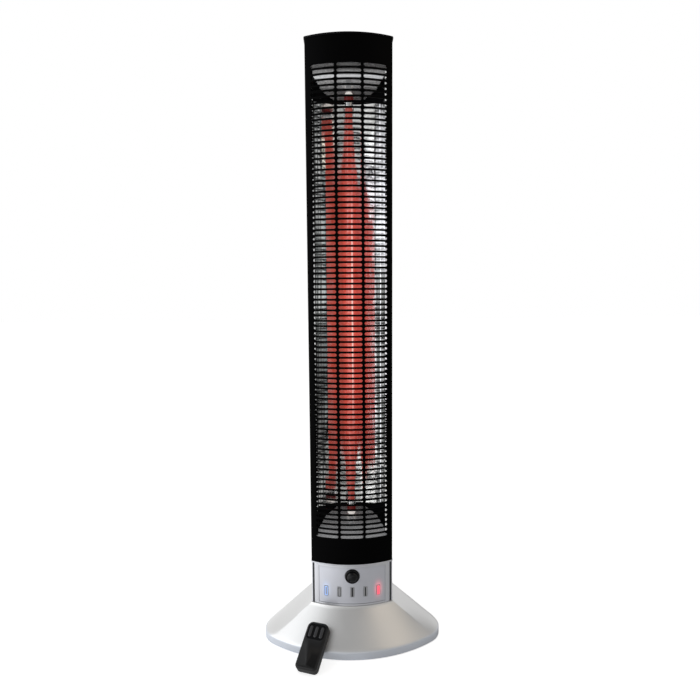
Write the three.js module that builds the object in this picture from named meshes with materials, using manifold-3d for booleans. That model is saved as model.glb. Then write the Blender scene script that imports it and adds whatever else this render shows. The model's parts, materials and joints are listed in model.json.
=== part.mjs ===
// Infrared patio heater tower: a slim black column with a slotted front grille, a carbon lamp in
// front of a bent reflector, a silver control section with five keys and a sensor dome, a lens-shaped
// base skirt on a steel plate, and a small handset that leans on the skirt.
// Millimetres, +Z up, front towards -Y. Z starts at the floor.
import * as THREE from 'three';
import { mergeGeometries, mergeVertices } from 'three/addons/utils/BufferGeometryUtils.js';
import loadManifold from 'manifold-3d';

const wasm = await loadManifold();
wasm.setup();

// ---------------------------------------------------------------- driving dimensions

const gap = 0.3; // clearance between pieces that sit against each other
const cutPast = 1; // how far a cutter runs past the face that it opens
const joinDepth = 0.5; // how far pieces that are joined run into each other

// How finely round and bowed pieces are cut
const roundSides = 24;
const smallSides = 12;
const domeSides = 40;
const domeSteps = 6;
const frontFacets = 18;
const rearFacets = 14;
const sideFacets = 9;
const fasciaFacets = 24;
const cornerSteps = 4;
const leadSides = 8;
const leadStepsPerPoint = 2;

// Column plan: a bowed front, straight sides and a flatter bowed back. y = 0 at the front corners.
const columnWidth = 150;
const frontSagitta = 19;
const sideDepth = 76;
const rearSagitta = 12;
const cornerRadius = 2.5;

// Heights of the stack, from the floor up
const skirtHeight = 73;
const controlHeight = 76.4;
const trimHeight = 2.4;
const columnHeight = 921.5;
const capHeight = 3.5;
const capOverhang = 1.4;
const trimOverhang = 0.8;
const mouthLedge = 2; // how far the ring and the skirt reach inside the control wall

// Sheet metal of the column
const columnSheet = 1.2;
const grilleReturn = 10; // how far the grille wraps round each side
const bulkheadSheet = 1.5;
const endPlateSheet = 1;
const bracketSheet = 1.5;

// Grille slots
const slotEndMargin = 46.5; // least plain sheet above and below the slots
const slotPitch = 9.24;
const slotRaise = 2; // from the middle of the column to the middle of the slots
const slotHeight = 5.7;
const ribWidth = 4;
const ribOffset = 22.8; // rib centre from the middle
const slotSideMargin = 9.7;

// Reflector: its bends, each with its depth and how far it lies inside the one before
const reflectorSheet = 0.8;
const reflectorFlange = 9; // from the column's side to the mouth
const reflectorMouthY = 3;
const reflectorShoulderIn = 4;
const reflectorShoulderY = 12;
const reflectorCreaseIn = 14;
const reflectorCreaseY = 29;
const reflectorFlankIn = 21;
const reflectorFlankY = 40.5;
const reflectorDepth = 44.5;
const reflectorTopRoom = 14; // space for the lead above the reflector
const bracketHeight = 30;
const bracketHalfWidth = 14;
const bracketFoot = 8;
const bracketFromEnd = 210;

// Slanted plates that close the lit trough
const endPlateAngle = THREE.MathUtils.degToRad(48);
const endPlateFromEnd = 43; // front edge of each plate from the column's end, at y = 0

// Lamp
const lampY = 18;
const tubeDiameter = 13;
const tubeWall = 1;
const lampCapDiameter = 16;
const lampCapLength = 27;
const lampCapFloor = 6;
const lampCapTip = 5; // radius of the flat tip
const filamentThickness = 1;
const lampSeatWidth = 9;
const lampSeatHeight = 18; // from the lamp's tip to the slanted plate
const leadDiameter = 3;
const leadHoleDiameter = 7;
const lowerLeadX = 6;
const upperLeadX = 16;
const upperLeadY = 50;
const leadStraight = 150; // half of the stretch that runs straight down the back

// Control section
const controlWall = 3;
const fasciaFrame = 4; // housing left above and below the fascia
const fasciaSide = 8.5; // housing left between the fascia and each groove
const fasciaInset = 0.5;
const fasciaWall = 2.5;
const grooveMargin = 2; // from the housing's side to the groove
const grooveWidth = 3.5;
const grooveWeb = 0.9; // wall left under the groove

// Front keys
const keyCount = 5;
const keyMargin = 13; // from the fascia's end to the middle of the last key
const keyWidth = 7;
const keyHeight = 19;
const keyZ = 100;
const keyProud = 0.8;
const keyTravel = 0.8;
const keyLip = 1.3;
const keyLipThickness = 1.5;
const keyStem = 4;
const keyClearance = 0.3;

// Sensor dome
const domeDiameter = 27;
const domeZ = 130;
const domeProud = 8.5;
const domeWall = 1.5;
const domeLip = 1.6;

// Electronics
const boardThickness = 1.6;
const controlBoardY = 8;
const controlBoardMargin = 3;
const switchSize = 6;
const switchDepth = 3.5;
const ledDiameter = 4;
const ledDepth = 7;
const ledBelowKey = 6;
const receiverSize = 8;
const powerBoardY = 40;
const powerBoardHeight = 48;
const powerBoardZ = 102;
const powerPartsZ = 100; // middle of the relay and the terminal block
const relayWidth = 20;
const relayHeight = 16;
const relayDepth = 15;
const relayX = -26;
const terminalWidth = 34;
const terminalHeight = 14;
const terminalDepth = 16;
const terminalX = 14;
const terminalBoreDiameter = 4;
const terminalBoreDepth = 8.4;
const terminalPitch = 8;
const cutoutDiameter = 14;
const cutoutHeight = 9;
const cutoutX = -30;
const cutoutY = 58;

// Cord inlet in the back of the control section
const inletDiameter = 14;
const inletBore = 8;
const inletFlange = 20;
const inletFlangeThickness = 3;
const inletBevel = 1;
const inletInside = 4; // how far the inlet reaches past the wall
const inletZ = 96;

// Support frame between the base plate and the column
const frameSheet = 2.5;
const frameHalfWidth = 52;
const frameFront = 14;
const frameBack = 56;
const frameFlange = 14;
const frameBoltDiameter = 6;
const frameBoltHead = 11;
const frameBoltHeadHeight = 4;
const frameBoltFromLeg = 16; // from the frame's leg to the bolt's middle

// Base: a lens with rounded corners
const baseHalfWidth = 165;
const baseCornerRadius = 48;
const baseCornerY = 19;
const baseFrontReach = 89; // from the corner line to the front of the lip
const baseRearReach = 124;
const lipHeight = 15.5;
const shoulderHeight = 5;
const skirtShoulderShare = 0.92; // how far out the straight slope runs before it rounds over
const skirtRoundedShare = 0.985; // the same at the middle of the rounding
const skirtRoundedHeight = 1.6; // and its height over the lip
const skirtWall = 3;
const skirtSeat = 1.2; // how far the skirt's top stands out round the control section
const skirtFloorGap = 1.5;
const plateThickness = 4;
const footDiameter = 22;
const footHeight = 3;
const footStem = 6;
const footStemLength = 3;
const footBevel = 1;
const footFromEnd = 57; // from the base's end to the foot's middle
const footFrontY = -20;
const footRearY = 76;

// Screws that hold the plate in the skirt
const screwDiameter = 4;
const screwHead = 8;
const screwHeadHeight = 2;
const screwLength = 16;
const screwFromEnd = 77; // from the base's end to the screw's middle
const screwFrontY = -26;
const screwRearY = 90;
const bossDiameter = 10;

// Tip-over switch
const plungerDiameter = 6;
const plungerCollar = 9;
const plungerCollarHeight = 2;
const plungerTravel = 4;
const plungerTop = 19;
const plungerBevel = 1;
const plungerX = 20;
const plungerY = 6;
const tipSwitchWidth = 24;
const tipSwitchDepth = 15;
const tipSwitchTop = 28;
const tipSwitchRoof = 4;

// Handset
const handsetWidth = 40;
const handsetLength = 82;
const handsetThickness = 18;
const handsetCorner = 8;
const handsetEdge = 2;
const handsetWall = 1.8;
const handsetSplit = 9.5; // height of the joint between the two shells
const handsetX = -80;
const handsetStart = -150; // y from which the handset is slid towards the skirt
const handsetLean = THREE.MathUtils.degToRad(33.5);
const handsetTurn = THREE.MathUtils.degToRad(20);
const handsetKeyWidth = 5.4;
const handsetKeyLength = 19;
const handsetKeyPitch = 10.5;
const handsetKeyFromTop = 18;
const handsetKeyProud = 0.6;
const handsetKeyTravel = 0.5;
const handsetKeyRoundShare = 0.9; // corner radius over half the width
const handsetKeyLip = 1;
const handsetKeyLipThickness = 0.9;
const batteryDiameter = 10.5;
const batteryLength = 44.5;
const batteryFromFoot = 5;
const batteryTip = 1;
const batteryTipDiameter = 4.2;
const doorWidth = 25;
const doorLength = 48;
const doorFromFoot = 4;
const doorInset = 0.2;
const handsetBoardThickness = 1.2;
const handsetBoardLength = 70;
const handsetBoardCorner = 5;
const handsetPadRoom = 0.7; // for the rubber pad under the keys

// ---------------------------------------------------------------- derived places

const controlBottom = skirtHeight + gap;
const controlTop = controlBottom + controlHeight;
const trimBottom = controlTop + gap;
const trimTop = trimBottom + trimHeight;
const columnBottom = trimTop + gap;
const columnTop = columnBottom + columnHeight;
const columnMiddle = (columnBottom + columnTop) / 2;
const halfWidth = columnWidth / 2;
const bulkheadBottom = columnBottom + gap;
const bulkheadTop = bulkheadBottom + bulkheadSheet;
const plateBottom = footHeight + gap;
const plateTop = plateBottom + plateThickness;
const grooveOuter = halfWidth - grooveMargin;
const grooveInner = grooveOuter - grooveWidth;
const fasciaHalfWidth = grooveInner - fasciaSide;
const keyPitch = 2 * (fasciaHalfWidth - keyMargin) / (keyCount - 1);
const footX = baseHalfWidth - footFromEnd;
const screwX = baseHalfWidth - screwFromEnd;

// ---------------------------------------------------------------- finishes

const satinBlack = { color: 0x0b0b0c, roughness: 0.42, metalness: 0.3 };
const silverPaint = { color: 0xbfc1c4, roughness: 0.35, metalness: 0.6 };
const silverPlastic = { color: 0xc6c8cb, roughness: 0.4, metalness: 0.3 };
const mirrorAluminium = { color: 0xd8d9da, roughness: 0.12, metalness: 1 };
const zincSteel = { color: 0x9a9c9e, roughness: 0.45, metalness: 0.9 };
const clearQuartz = { color: 0xffd9cc, roughness: 0.05, metalness: 0 };
const hotCarbon = { color: 0xff3a1c, roughness: 0.6, metalness: 0, emissive: 0xff2a10 };
const whiteCeramic = { color: 0xf1efe9, roughness: 0.5, metalness: 0 };
const glossBlack = { color: 0x050506, roughness: 0.06, metalness: 0 };
const mattBlack = { color: 0x141416, roughness: 0.6, metalness: 0 };
const greenBoard = { color: 0x1d5a35, roughness: 0.6, metalness: 0 };
const keyGrey = { color: 0xaeb1b6, roughness: 0.45, metalness: 0.2 };
const blueGlow = { color: 0x5d9bff, roughness: 0.3, metalness: 0, emissive: 0x2a6cff };
const redGlow = { color: 0xff5566, roughness: 0.3, metalness: 0, emissive: 0xff2038 };
const blackRubber = { color: 0x17171a, roughness: 0.85, metalness: 0 };
const siliconeLead = { color: 0xd9d4cb, roughness: 0.7, metalness: 0 };

// ---------------------------------------------------------------- helpers

const point = (x, y) => new THREE.Vector2(x, y);

// A closed geometry as a solid that can be cut and joined.
function toSolid(geometry) {
  const bare = geometry.clone();
  bare.deleteAttribute('normal');
  bare.deleteAttribute('uv');
  const welded = mergeVertices(bare, 1e-4);
  const vertProperties = new Float32Array(welded.attributes.position.array);
  const triVerts = new Uint32Array(welded.index.array);
  return new wasm.Manifold(new wasm.Mesh({ numProp: 3, vertProperties, triVerts }));
}

function toGeometry(solid) {
  const mesh = solid.getMesh();
  const geometry = new THREE.BufferGeometry();
  geometry.setAttribute('position', new THREE.BufferAttribute(mesh.vertProperties, 3));
  geometry.setIndex(new THREE.BufferAttribute(mesh.triVerts, 1));
  const flat = geometry.toNonIndexed();
  flat.computeVertexNormals();
  return flat;
}

function cut(geometry, ...tools) {
  const cutters = tools.map(toSolid);
  return toGeometry(cutters.reduce((body, tool) => body.subtract(tool), toSolid(geometry)));
}

function join(geometry, ...others) {
  const extras = others.map(toSolid);
  return toGeometry(extras.reduce((body, extra) => body.add(extra), toSolid(geometry)));
}

const common = (a, b) => toGeometry(toSolid(a).intersect(toSolid(b)));

// A prism standing on z = bottom over a closed plan outline.
function prism(outline, bottom, height, holes = []) {
  const shape = new THREE.Shape(outline);
  shape.holes = holes.map((hole) => new THREE.Path(hole));
  const geometry = new THREE.ExtrudeGeometry(shape, { depth: height, bevelEnabled: false });
  return geometry.translate(0, 0, bottom);
}

function block(x0, x1, y0, y1, z0, z1) {
  const box = new THREE.BoxGeometry(x1 - x0, y1 - y0, z1 - z0);
  return box.translate((x0 + x1) / 2, (y0 + y1) / 2, (z0 + z1) / 2);
}

// A round bar along Z.
function rod(diameter, x, y, z0, z1, sides = roundSides) {
  const bar = new THREE.CylinderGeometry(diameter / 2, diameter / 2, z1 - z0, sides);
  return bar.rotateX(Math.PI / 2).translate(x, y, (z0 + z1) / 2);
}

// A round bar along Y.
function rodAlongY(diameter, x, z, y0, y1, sides = roundSides) {
  const bar = new THREE.CylinderGeometry(diameter / 2, diameter / 2, y1 - y0, sides);
  return bar.translate(x, (y0 + y1) / 2, z);
}

// A turned piece about the Z axis, from [radius, z] pairs that start and end on the axis or close.
function turned(profile, sides = roundSides) {
  const points = profile.map(([radius, z]) => point(radius, z));
  return new THREE.LatheGeometry(points, sides).rotateX(Math.PI / 2);
}

// The same about an axis along -Y: the second number of each pair is the distance to the front.
function turnedForward(profile, sides = roundSides) {
  return turned(profile, sides).rotateX(Math.PI / 2);
}

// The outline of a sheet bent along a path, thickened to the path's left.
function bentSheet(path, thickness) {
  const offset = path.map((here, i) => {
    const before = path[Math.max(i - 1, 0)];
    const after = path[Math.min(i + 1, path.length - 1)];
    const into = here.clone().sub(before);
    const out = after.clone().sub(here);
    const a = (i === 0 ? out : into).clone().normalize();
    const b = (i === path.length - 1 ? into : out).clone().normalize();
    const normal = point(-a.y - b.y, a.x + b.x).normalize();
    const stretch = thickness / normal.dot(point(-a.y, a.x));
    return here.clone().addScaledVector(normal, stretch);
  });
  return [...path, ...offset.reverse()];
}

function softCorner(before, corner, after) {
  return new THREE.QuadraticBezierCurve(before, corner, after).getPoints(cornerSteps - 1);
}

// How far a bow over a chord stands out from the chord at x, with the bow moved in by `inset`.
function bowAt(x, width, sagitta, inset = 0) {
  const radius = (width * width / 4 + sagitta * sagitta) / (2 * sagitta);
  return Math.sqrt((radius - inset) ** 2 - x * x) - (radius - sagitta);
}

const frontY = (x, inset = 0) => -bowAt(x, columnWidth, frontSagitta, inset);
const rearY = (x, inset = 0) => sideDepth + bowAt(x, columnWidth, rearSagitta, inset);

function spread(from, to, steps) {
  return Array.from({ length: steps + 1 }, (_, i) => from + (to - from) * i / steps);
}

// The column's plan, moved in by `inset`, anticlockwise from the left end of the front bow. facets
// are the places between the front corners where the bow bends.
function columnOutline(inset = 0, facets = spread(-halfWidth, halfWidth, frontFacets).slice(1, -1)) {
  const half = halfWidth - inset;
  const bend = cornerRadius;
  const front = [-half + bend, ...facets, half - bend].map((x) => point(x, frontY(x, inset)));
  const rear = spread(half - bend, -half + bend, rearFacets).map((x) => point(x, rearY(x, inset)));
  const corner = (x, y, before, after) => softCorner(before, point(x, y), after).slice(1, -1);
  const frontCornerY = frontY(half, inset);
  const rearCornerY = rearY(half, inset);
  const rightFront = point(half, frontCornerY + bend);
  const rightRear = point(half, rearCornerY - bend);
  const leftRear = point(-half, rearCornerY - bend);
  const leftFront = point(-half, frontCornerY + bend);
  return [
    ...front,
    ...corner(half, frontCornerY, front.at(-1), rightFront),
    rightFront,
    rightRear,
    ...corner(half, rearCornerY, rightRear, rear[0]),
    ...rear,
    ...corner(-half, rearCornerY, rear.at(-1), leftRear),
    leftRear,
    leftFront,
    ...corner(-half, frontCornerY, leftFront, front[0]),
  ];
}

// A closed skin through rings of equal point count, with a flat lid at each end.
function loft(rings) {
  const count = rings[0].length;
  const positions = rings.flat().flatMap((p) => [p.x, p.y, p.z]);
  const faces = [];
  for (let ring = 0; ring < rings.length - 1; ring += 1) {
    for (let i = 0; i < count; i += 1) {
      const a = ring * count + i;
      const b = ring * count + (i + 1) % count;
      faces.push(a, b, b + count, a, b + count, a + count);
    }
  }
  const last = (rings.length - 1) * count;
  for (let i = 1; i < count - 1; i += 1) {
    faces.push(0, i + 1, i);
    faces.push(last, last + i, last + i + 1);
  }
  const geometry = new THREE.BufferGeometry();
  geometry.setAttribute('position', new THREE.Float32BufferAttribute(positions, 3));
  geometry.setIndex(faces);
  return geometry;
}

function mesh(name, geometry, finish) {
  const piece = new THREE.Mesh(geometry, new THREE.MeshStandardMaterial(finish));
  piece.name = name;
  return piece;
}

// ---------------------------------------------------------------- column

// The grille's face is flat between these places, and so is the front edge of what fits behind it.
const slotEnd = halfWidth - slotSideMargin;
const slotMiddle = (ribOffset + slotEnd) / 2;
const grilleFacets = [-slotMiddle, -ribOffset, 0, ribOffset, slotMiddle];

// A pressed sheet with a return down each side and three columns of slots.
function frontGrille() {
  const half = halfWidth;
  const bend = cornerRadius;
  const corner = (side) => [
    point(side * half, grilleReturn),
    ...softCorner(
      point(side * half, bend),
      point(side * half, 0),
      point(side * (half - bend), frontY(half - bend)),
    ),
  ];
  const face = grilleFacets.map((x) => point(x, frontY(x)));
  const path = [...corner(-1), ...face, ...corner(1).reverse()];
  const sheet = prism(bentSheet(path, columnSheet), columnBottom, columnHeight);
  const ribHalf = ribWidth / 2;
  const columns = [
    [-slotEnd, -ribOffset - ribHalf],
    [-ribOffset + ribHalf, ribOffset - ribHalf],
    [ribOffset + ribHalf, slotEnd],
  ];
  const slotRun = columnHeight - 2 * slotEndMargin - slotHeight;
  const slotRows = Math.floor(slotRun / slotPitch) + 1;
  const firstRow = columnMiddle + slotRaise - slotPitch * (slotRows - 1) / 2;
  const slots = [];
  for (let row = 0; row < slotRows; row += 1) {
    const z = firstRow + row * slotPitch;
    for (const [x0, x1] of columns) {
      slots.push(block(x0, x1, -2 * frontSagitta, bend, z - slotHeight / 2, z + slotHeight / 2));
    }
  }
  return cut(sheet, mergeGeometries(slots));
}

// Sides and back of the column in one folded sheet, behind the grille's returns.
function rearHousing() {
  const bend = cornerRadius;
  const corner = (side) => softCorner(
    point(side * halfWidth, sideDepth - bend),
    point(side * halfWidth, sideDepth),
    point(side * (halfWidth - bend), rearY(halfWidth - bend)),
  );
  const back = spread(halfWidth - bend, -halfWidth + bend, rearFacets).slice(1, -1);
  const path = [
    point(halfWidth, grilleReturn + gap),
    ...corner(1),
    ...back.map((x) => point(x, rearY(x))),
    ...corner(-1).reverse(),
    point(-halfWidth, grilleReturn + gap),
  ];
  return prism(bentSheet(path, columnSheet), columnBottom, columnHeight);
}

function topCap() {
  return prism(columnOutline(-capOverhang), columnTop + gap, capHeight);
}

function topBulkhead() {
  const outline = columnOutline(columnSheet + gap, grilleFacets);
  return prism(outline, columnTop - bulkheadSheet, bulkheadSheet);
}

function bottomBulkhead() {
  const plate = prism(columnOutline(columnSheet + gap, grilleFacets), bulkheadBottom, bulkheadSheet);
  const below = bulkheadBottom - cutPast;
  const above = bulkheadTop + cutPast;
  return cut(
    plate,
    rod(leadHoleDiameter, lowerLeadX, lampY, below, above),
    rod(leadHoleDiameter, upperLeadX, upperLeadY, below, above),
  );
}

function trimRing() {
  const inner = columnOutline(controlWall + mouthLedge);
  return prism(columnOutline(-trimOverhang), trimBottom, trimHeight, [inner]);
}

// ---------------------------------------------------------------- reflector and lamp

const reflectorBottom = bulkheadTop + gap;
const reflectorTop = columnTop - bulkheadSheet - reflectorTopRoom;
const reflectorMouth = halfWidth - reflectorFlange;
const reflectorShoulder = reflectorMouth - reflectorShoulderIn;
const reflectorCrease = reflectorShoulder - reflectorCreaseIn;
const reflectorFlank = reflectorCrease - reflectorFlankIn;

// The trough seen from above, from one front edge to the other, on its mirror side.
function troughPath() {
  const half = [
    point(reflectorMouth, reflectorMouthY),
    point(reflectorShoulder, reflectorShoulderY),
    point(reflectorCrease, reflectorCreaseY),
    point(reflectorFlank, reflectorFlankY),
  ];
  const other = half.map((p) => point(-p.x, p.y)).reverse();
  return [...half, point(0, reflectorDepth), ...other];
}

function reflector() {
  const flange = halfWidth - columnSheet - gap;
  const path = [
    point(-flange, reflectorMouthY),
    ...troughPath().reverse(),
    point(flange, reflectorMouthY),
  ];
  return prism(bentSheet(path, reflectorSheet), reflectorBottom, reflectorTop - reflectorBottom);
}

// How far a slanted end plate has come down the trough at depth y.
const endPlateDrop = (y) => y * Math.tan(endPlateAngle);

// The plate that closes the trough: the trough's own section, cut on the slant. side is 1 at the top.
function endPlate(side) {
  const walls = troughPath().map((p) => {
    const pull = gap * 2;
    return point(p.x - Math.sign(p.x) * pull, p.y - (p.x === 0 ? pull : 0));
  });
  const inset = columnSheet + 2 * gap;
  const mouth = walls[0].x;
  const corner = frontY(mouth, inset) + gap;
  const face = grilleFacets.map((x) => point(x, frontY(x, inset)));
  const bow = [point(-mouth, corner), ...face, point(mouth, corner)];
  const section = prism([...bow, ...walls], columnBottom, columnHeight);
  const slope = side * endPlateAngle;
  const thickness = endPlateSheet;
  const slab = new THREE.BoxGeometry(columnWidth, columnWidth * 2, thickness);
  const edge = side > 0 ? columnTop - endPlateFromEnd : columnBottom + endPlateFromEnd;
  slab.rotateX(-slope);
  slab.translate(0, 0, edge + side * thickness / 2 / Math.cos(endPlateAngle));
  return common(section, slab);
}

// Lamp pieces are drawn about the lamp's middle and moved into place.
const toLamp = (geometry) => geometry.translate(0, lampY, columnMiddle);
const lampRoom = columnHeight / 2 - endPlateFromEnd - endPlateDrop(lampY) - gap / Math.cos(endPlateAngle);
const lampHalf = lampRoom - lampSeatHeight - gap;
const tubeHalf = lampHalf - lampCapFloor - gap;

function quartzTube() {
  const outer = tubeDiameter / 2;
  const inner = outer - tubeWall;
  const wall = [[inner, -tubeHalf], [outer, -tubeHalf], [outer, tubeHalf], [inner, tubeHalf]];
  return toLamp(turned([...wall, wall[0]]));
}

function carbonFilament() {
  const width = tubeDiameter - 2 * tubeWall - 2 * gap;
  const half = filamentThickness / 2;
  return toLamp(block(-width / 2, width / 2, -half, half, -tubeHalf, tubeHalf));
}

// A ceramic cup over the end of the tube, with a rounded tip. side is 1 at the top.
function lampCap(side) {
  const outer = lampCapDiameter / 2;
  const bore = tubeDiameter / 2 + gap;
  const floor = lampHalf - lampCapFloor;
  const open = lampHalf - lampCapLength;
  const round = outer - lampCapTip;
  const chamfer = round * (1 - Math.SQRT1_2);
  const profile = [
    [0, floor],
    [bore, floor],
    [bore, open],
    [outer, open],
    [outer, lampHalf - round],
    [outer - chamfer, lampHalf - chamfer],
    [lampCapTip, lampHalf],
    [0, lampHalf],
  ];
  const cap = turned(profile);
  return toLamp(side > 0 ? cap : cap.rotateX(Math.PI));
}

// A steel wedge between the lamp's tip and the slanted plate. side is 1 at the top.
function lampSeat(side) {
  const reach = lampSeatWidth / 2;
  const tip = lampHalf + gap;
  const edge = columnHeight / 2 - endPlateFromEnd;
  const drop = gap / Math.cos(endPlateAngle);
  const wedge = [
    point(lampY - reach, tip),
    point(lampY + reach, tip),
    point(lampY + reach, edge - endPlateDrop(lampY + reach) - drop),
    point(lampY - reach, edge - endPlateDrop(lampY - reach) - drop),
  ];
  const seat = prism(wedge, -reach, lampSeatWidth);
  // the drawing's x runs along Y and its y along Z
  seat.rotateX(Math.PI / 2).rotateZ(Math.PI / 2);
  const placed = side > 0 ? seat : seat.rotateY(Math.PI);
  return placed.translate(0, 0, columnMiddle);
}

// A round lead along a route: rings at even steps between the route's points, so bends stay fine.
function lead(route) {
  const curve = new THREE.CatmullRomCurve3(route.map((p) => new THREE.Vector3(...p)), false, 'centripetal');
  const steps = leadStepsPerPoint * (route.length - 1);
  const across = new THREE.Vector3(1, 0, 0);
  const rings = spread(0, 1, steps).map((share) => {
    const centre = curve.getPoint(share);
    const along = curve.getTangent(share);
    across.addScaledVector(along, -across.dot(along)).normalize();
    const other = along.clone().cross(across);
    return Array.from({ length: leadSides }, (_, i) => {
      const angle = 2 * Math.PI * i / leadSides;
      const ring = centre.clone().addScaledVector(across, Math.cos(angle) * leadDiameter / 2);
      return ring.addScaledVector(other, Math.sin(angle) * leadDiameter / 2);
    });
  });
  return loft(rings);
}

const terminalTop = powerPartsZ + terminalHeight / 2;
const terminalY = powerBoardY - gap - terminalDepth / 2;

// From the back of the upper plate, over the reflector and down behind it to the terminal block.
function upperLead() {
  const overTop = reflectorTop + reflectorTopRoom / 2;
  const start = columnTop - endPlateFromEnd - endPlateDrop(lampY) + 2 * endPlateSheet + leadDiameter;
  return lead([
    [0, lampY, start],
    [2, lampY + 1, start + 20],
    [6, lampY + 6, overTop - 14],
    [upperLeadX - 4, lampY + 16, overTop],
    [upperLeadX, upperLeadY - 4, overTop - 3],
    [upperLeadX, upperLeadY, overTop - 22],
    [upperLeadX, upperLeadY, columnMiddle + leadStraight],
    [upperLeadX, upperLeadY, columnMiddle - leadStraight],
    [upperLeadX, upperLeadY, bulkheadTop + 30],
    [upperLeadX, upperLeadY, bulkheadBottom - 6],
    [terminalX + 9, terminalY + 8, bulkheadBottom - 16],
    [terminalX + 9, terminalY, terminalTop + 16],
    [terminalX + 9, terminalY, terminalTop + gap],
  ]);
}

function lowerLead() {
  const start = columnBottom + endPlateFromEnd + endPlateDrop(lampY) - 2 * endPlateSheet - leadDiameter;
  return lead([
    [0, lampY, start],
    [3, lampY, start - 20],
    [lowerLeadX, lampY, bulkheadTop + 14],
    [lowerLeadX, lampY, bulkheadBottom - 6],
    [terminalX - 7, terminalY - 3, terminalTop + 26],
    [terminalX - 7, terminalY, terminalTop + 12],
    [terminalX - 7, terminalY, terminalTop + gap],
  ]);
}

// A hat-section bracket from the reflector's back to the rear housing.
function reflectorBracket(z) {
  const slope = (reflectorDepth - reflectorFlankY) / reflectorFlank;
  const crown = reflectorDepth + (reflectorSheet + gap) * Math.hypot(1, slope);
  const wall = rearY(bracketHalfWidth + bracketFoot, columnSheet) - gap;
  const shoulder = crown - slope * bracketHalfWidth;
  const half = [
    point(bracketHalfWidth + bracketFoot, wall - bracketSheet),
    point(bracketHalfWidth, wall - bracketSheet),
    point(bracketHalfWidth, shoulder),
  ];
  const left = half.map((p) => point(-p.x, p.y));
  const path = [...left, point(0, crown), ...half.reverse()];
  return prism(bentSheet(path, bracketSheet), z - bracketHeight / 2, bracketHeight);
}

// ---------------------------------------------------------------- control section

const fasciaBottom = controlBottom + fasciaFrame;
const fasciaTop = controlTop - fasciaFrame;

function controlHousing() {
  const shell = prism(columnOutline(), controlBottom, controlHeight, [columnOutline(controlWall)]);
  const open = fasciaHalfWidth + gap;
  const low = fasciaBottom - gap;
  const high = fasciaTop + gap;
  const windowBack = frontY(open, controlWall) + cutPast;
  const window = block(-open, open, -2 * frontSagitta, windowBack, low, high);
  const grooveFloor = frontY(grooveInner, controlWall) - grooveWeb;
  const grooveLow = controlBottom - cutPast;
  const grooveHigh = controlTop + cutPast;
  const groove = (side) => {
    const xs = [side * grooveInner, side * grooveOuter].sort((a, b) => a - b);
    return block(xs[0], xs[1], -2 * frontSagitta, grooveFloor, grooveLow, grooveHigh);
  };
  const wall = rearY(0);
  const holeFront = wall - 2 * controlWall;
  const inletHole = rodAlongY(inletDiameter + 2 * gap, 0, inletZ, holeFront, wall + cutPast);
  return cut(shell, window, groove(-1), groove(1), inletHole);
}

const keyX = (index) => (index - (keyCount - 1) / 2) * keyPitch;

function controlFascia() {
  const xs = spread(-fasciaHalfWidth, fasciaHalfWidth, fasciaFacets);
  const outer = xs.map((x) => point(x, frontY(x, fasciaInset)));
  const inner = xs.map((x) => point(x, frontY(x, fasciaInset + fasciaWall))).reverse();
  const plate = prism([...outer, ...inner], fasciaBottom, fasciaTop - fasciaBottom);
  const halfHole = keyWidth / 2 + keyClearance;
  const holeHeight = keyHeight / 2 + keyClearance;
  const holes = [rodAlongY(domeDiameter + 2 * gap, 0, domeZ, -2 * frontSagitta, 0, domeSides)];
  for (let i = 0; i < keyCount; i += 1) {
    const x = keyX(i);
    holes.push(block(x - halfHole, x + halfHole, -2 * frontSagitta, 0, keyZ - holeHeight, keyZ + holeHeight));
  }
  return cut(plate, ...holes);
}

const switchFace = controlBoardY - switchDepth;

// A key with a face that follows the fascia, a lip behind it and a stem towards its switch.
function key(index) {
  const x = keyX(index);
  const half = keyWidth / 2;
  const lipHalf = half + keyLip;
  const back = (at) => frontY(at, fasciaInset + fasciaWall) + keyClearance;
  const face = (at) => frontY(at, fasciaInset) - keyProud;
  const lipBack = Math.max(back(x - lipHalf), back(x + lipHalf)) + keyLipThickness;
  const cap = [
    point(x - half, face(x - half)),
    point(x + half, face(x + half)),
    point(x + half, lipBack),
    point(x - half, lipBack),
  ];
  const lip = [
    point(x - lipHalf, back(x - lipHalf)),
    point(x + lipHalf, back(x + lipHalf)),
    point(x + lipHalf, lipBack),
    point(x - lipHalf, lipBack),
  ];
  const stemEnd = switchFace - keyTravel - keyClearance;
  const stem = block(
    x - keyStem / 2,
    x + keyStem / 2,
    lipBack - keyLipThickness / 2,
    stemEnd,
    keyZ - keyStem / 2,
    keyZ + keyStem / 2,
  );
  const lipHeight = keyHeight + 2 * keyLip;
  return join(
    prism(cap, keyZ - keyHeight / 2, keyHeight),
    prism(lip, keyZ - lipHeight / 2, lipHeight),
    stem,
  );
}

// A thin glossy dome with a lip that stays behind the fascia.
function sensorDome() {
  const radius = domeDiameter / 2;
  const lipRadius = radius + domeLip;
  const lipFront = -frontY(lipRadius, fasciaInset + fasciaWall) - gap;
  const crown = -frontY(0, fasciaInset) + domeProud;
  const wallTop = -frontY(0, fasciaInset);
  const bulge = (r, apex, share) => [r * Math.cos(share), wallTop + (apex - wallTop) * Math.sin(share)];
  const shares = spread(0, Math.PI / 2, domeSteps);
  const outer = shares.map((share) => bulge(radius, crown, share));
  const inner = shares.map((share) => bulge(radius - domeWall, crown - domeWall, share)).reverse();
  const lipBack = lipFront - domeWall;
  const profile = [
    ...inner,
    [radius - domeWall, lipBack],
    [lipRadius, lipBack],
    [lipRadius, lipFront],
    [radius, lipFront],
    ...outer,
  ];
  profile[0][0] = 0;
  profile[profile.length - 1][0] = 0;
  return turnedForward(profile, domeSides).translate(0, 0, domeZ);
}

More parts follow.
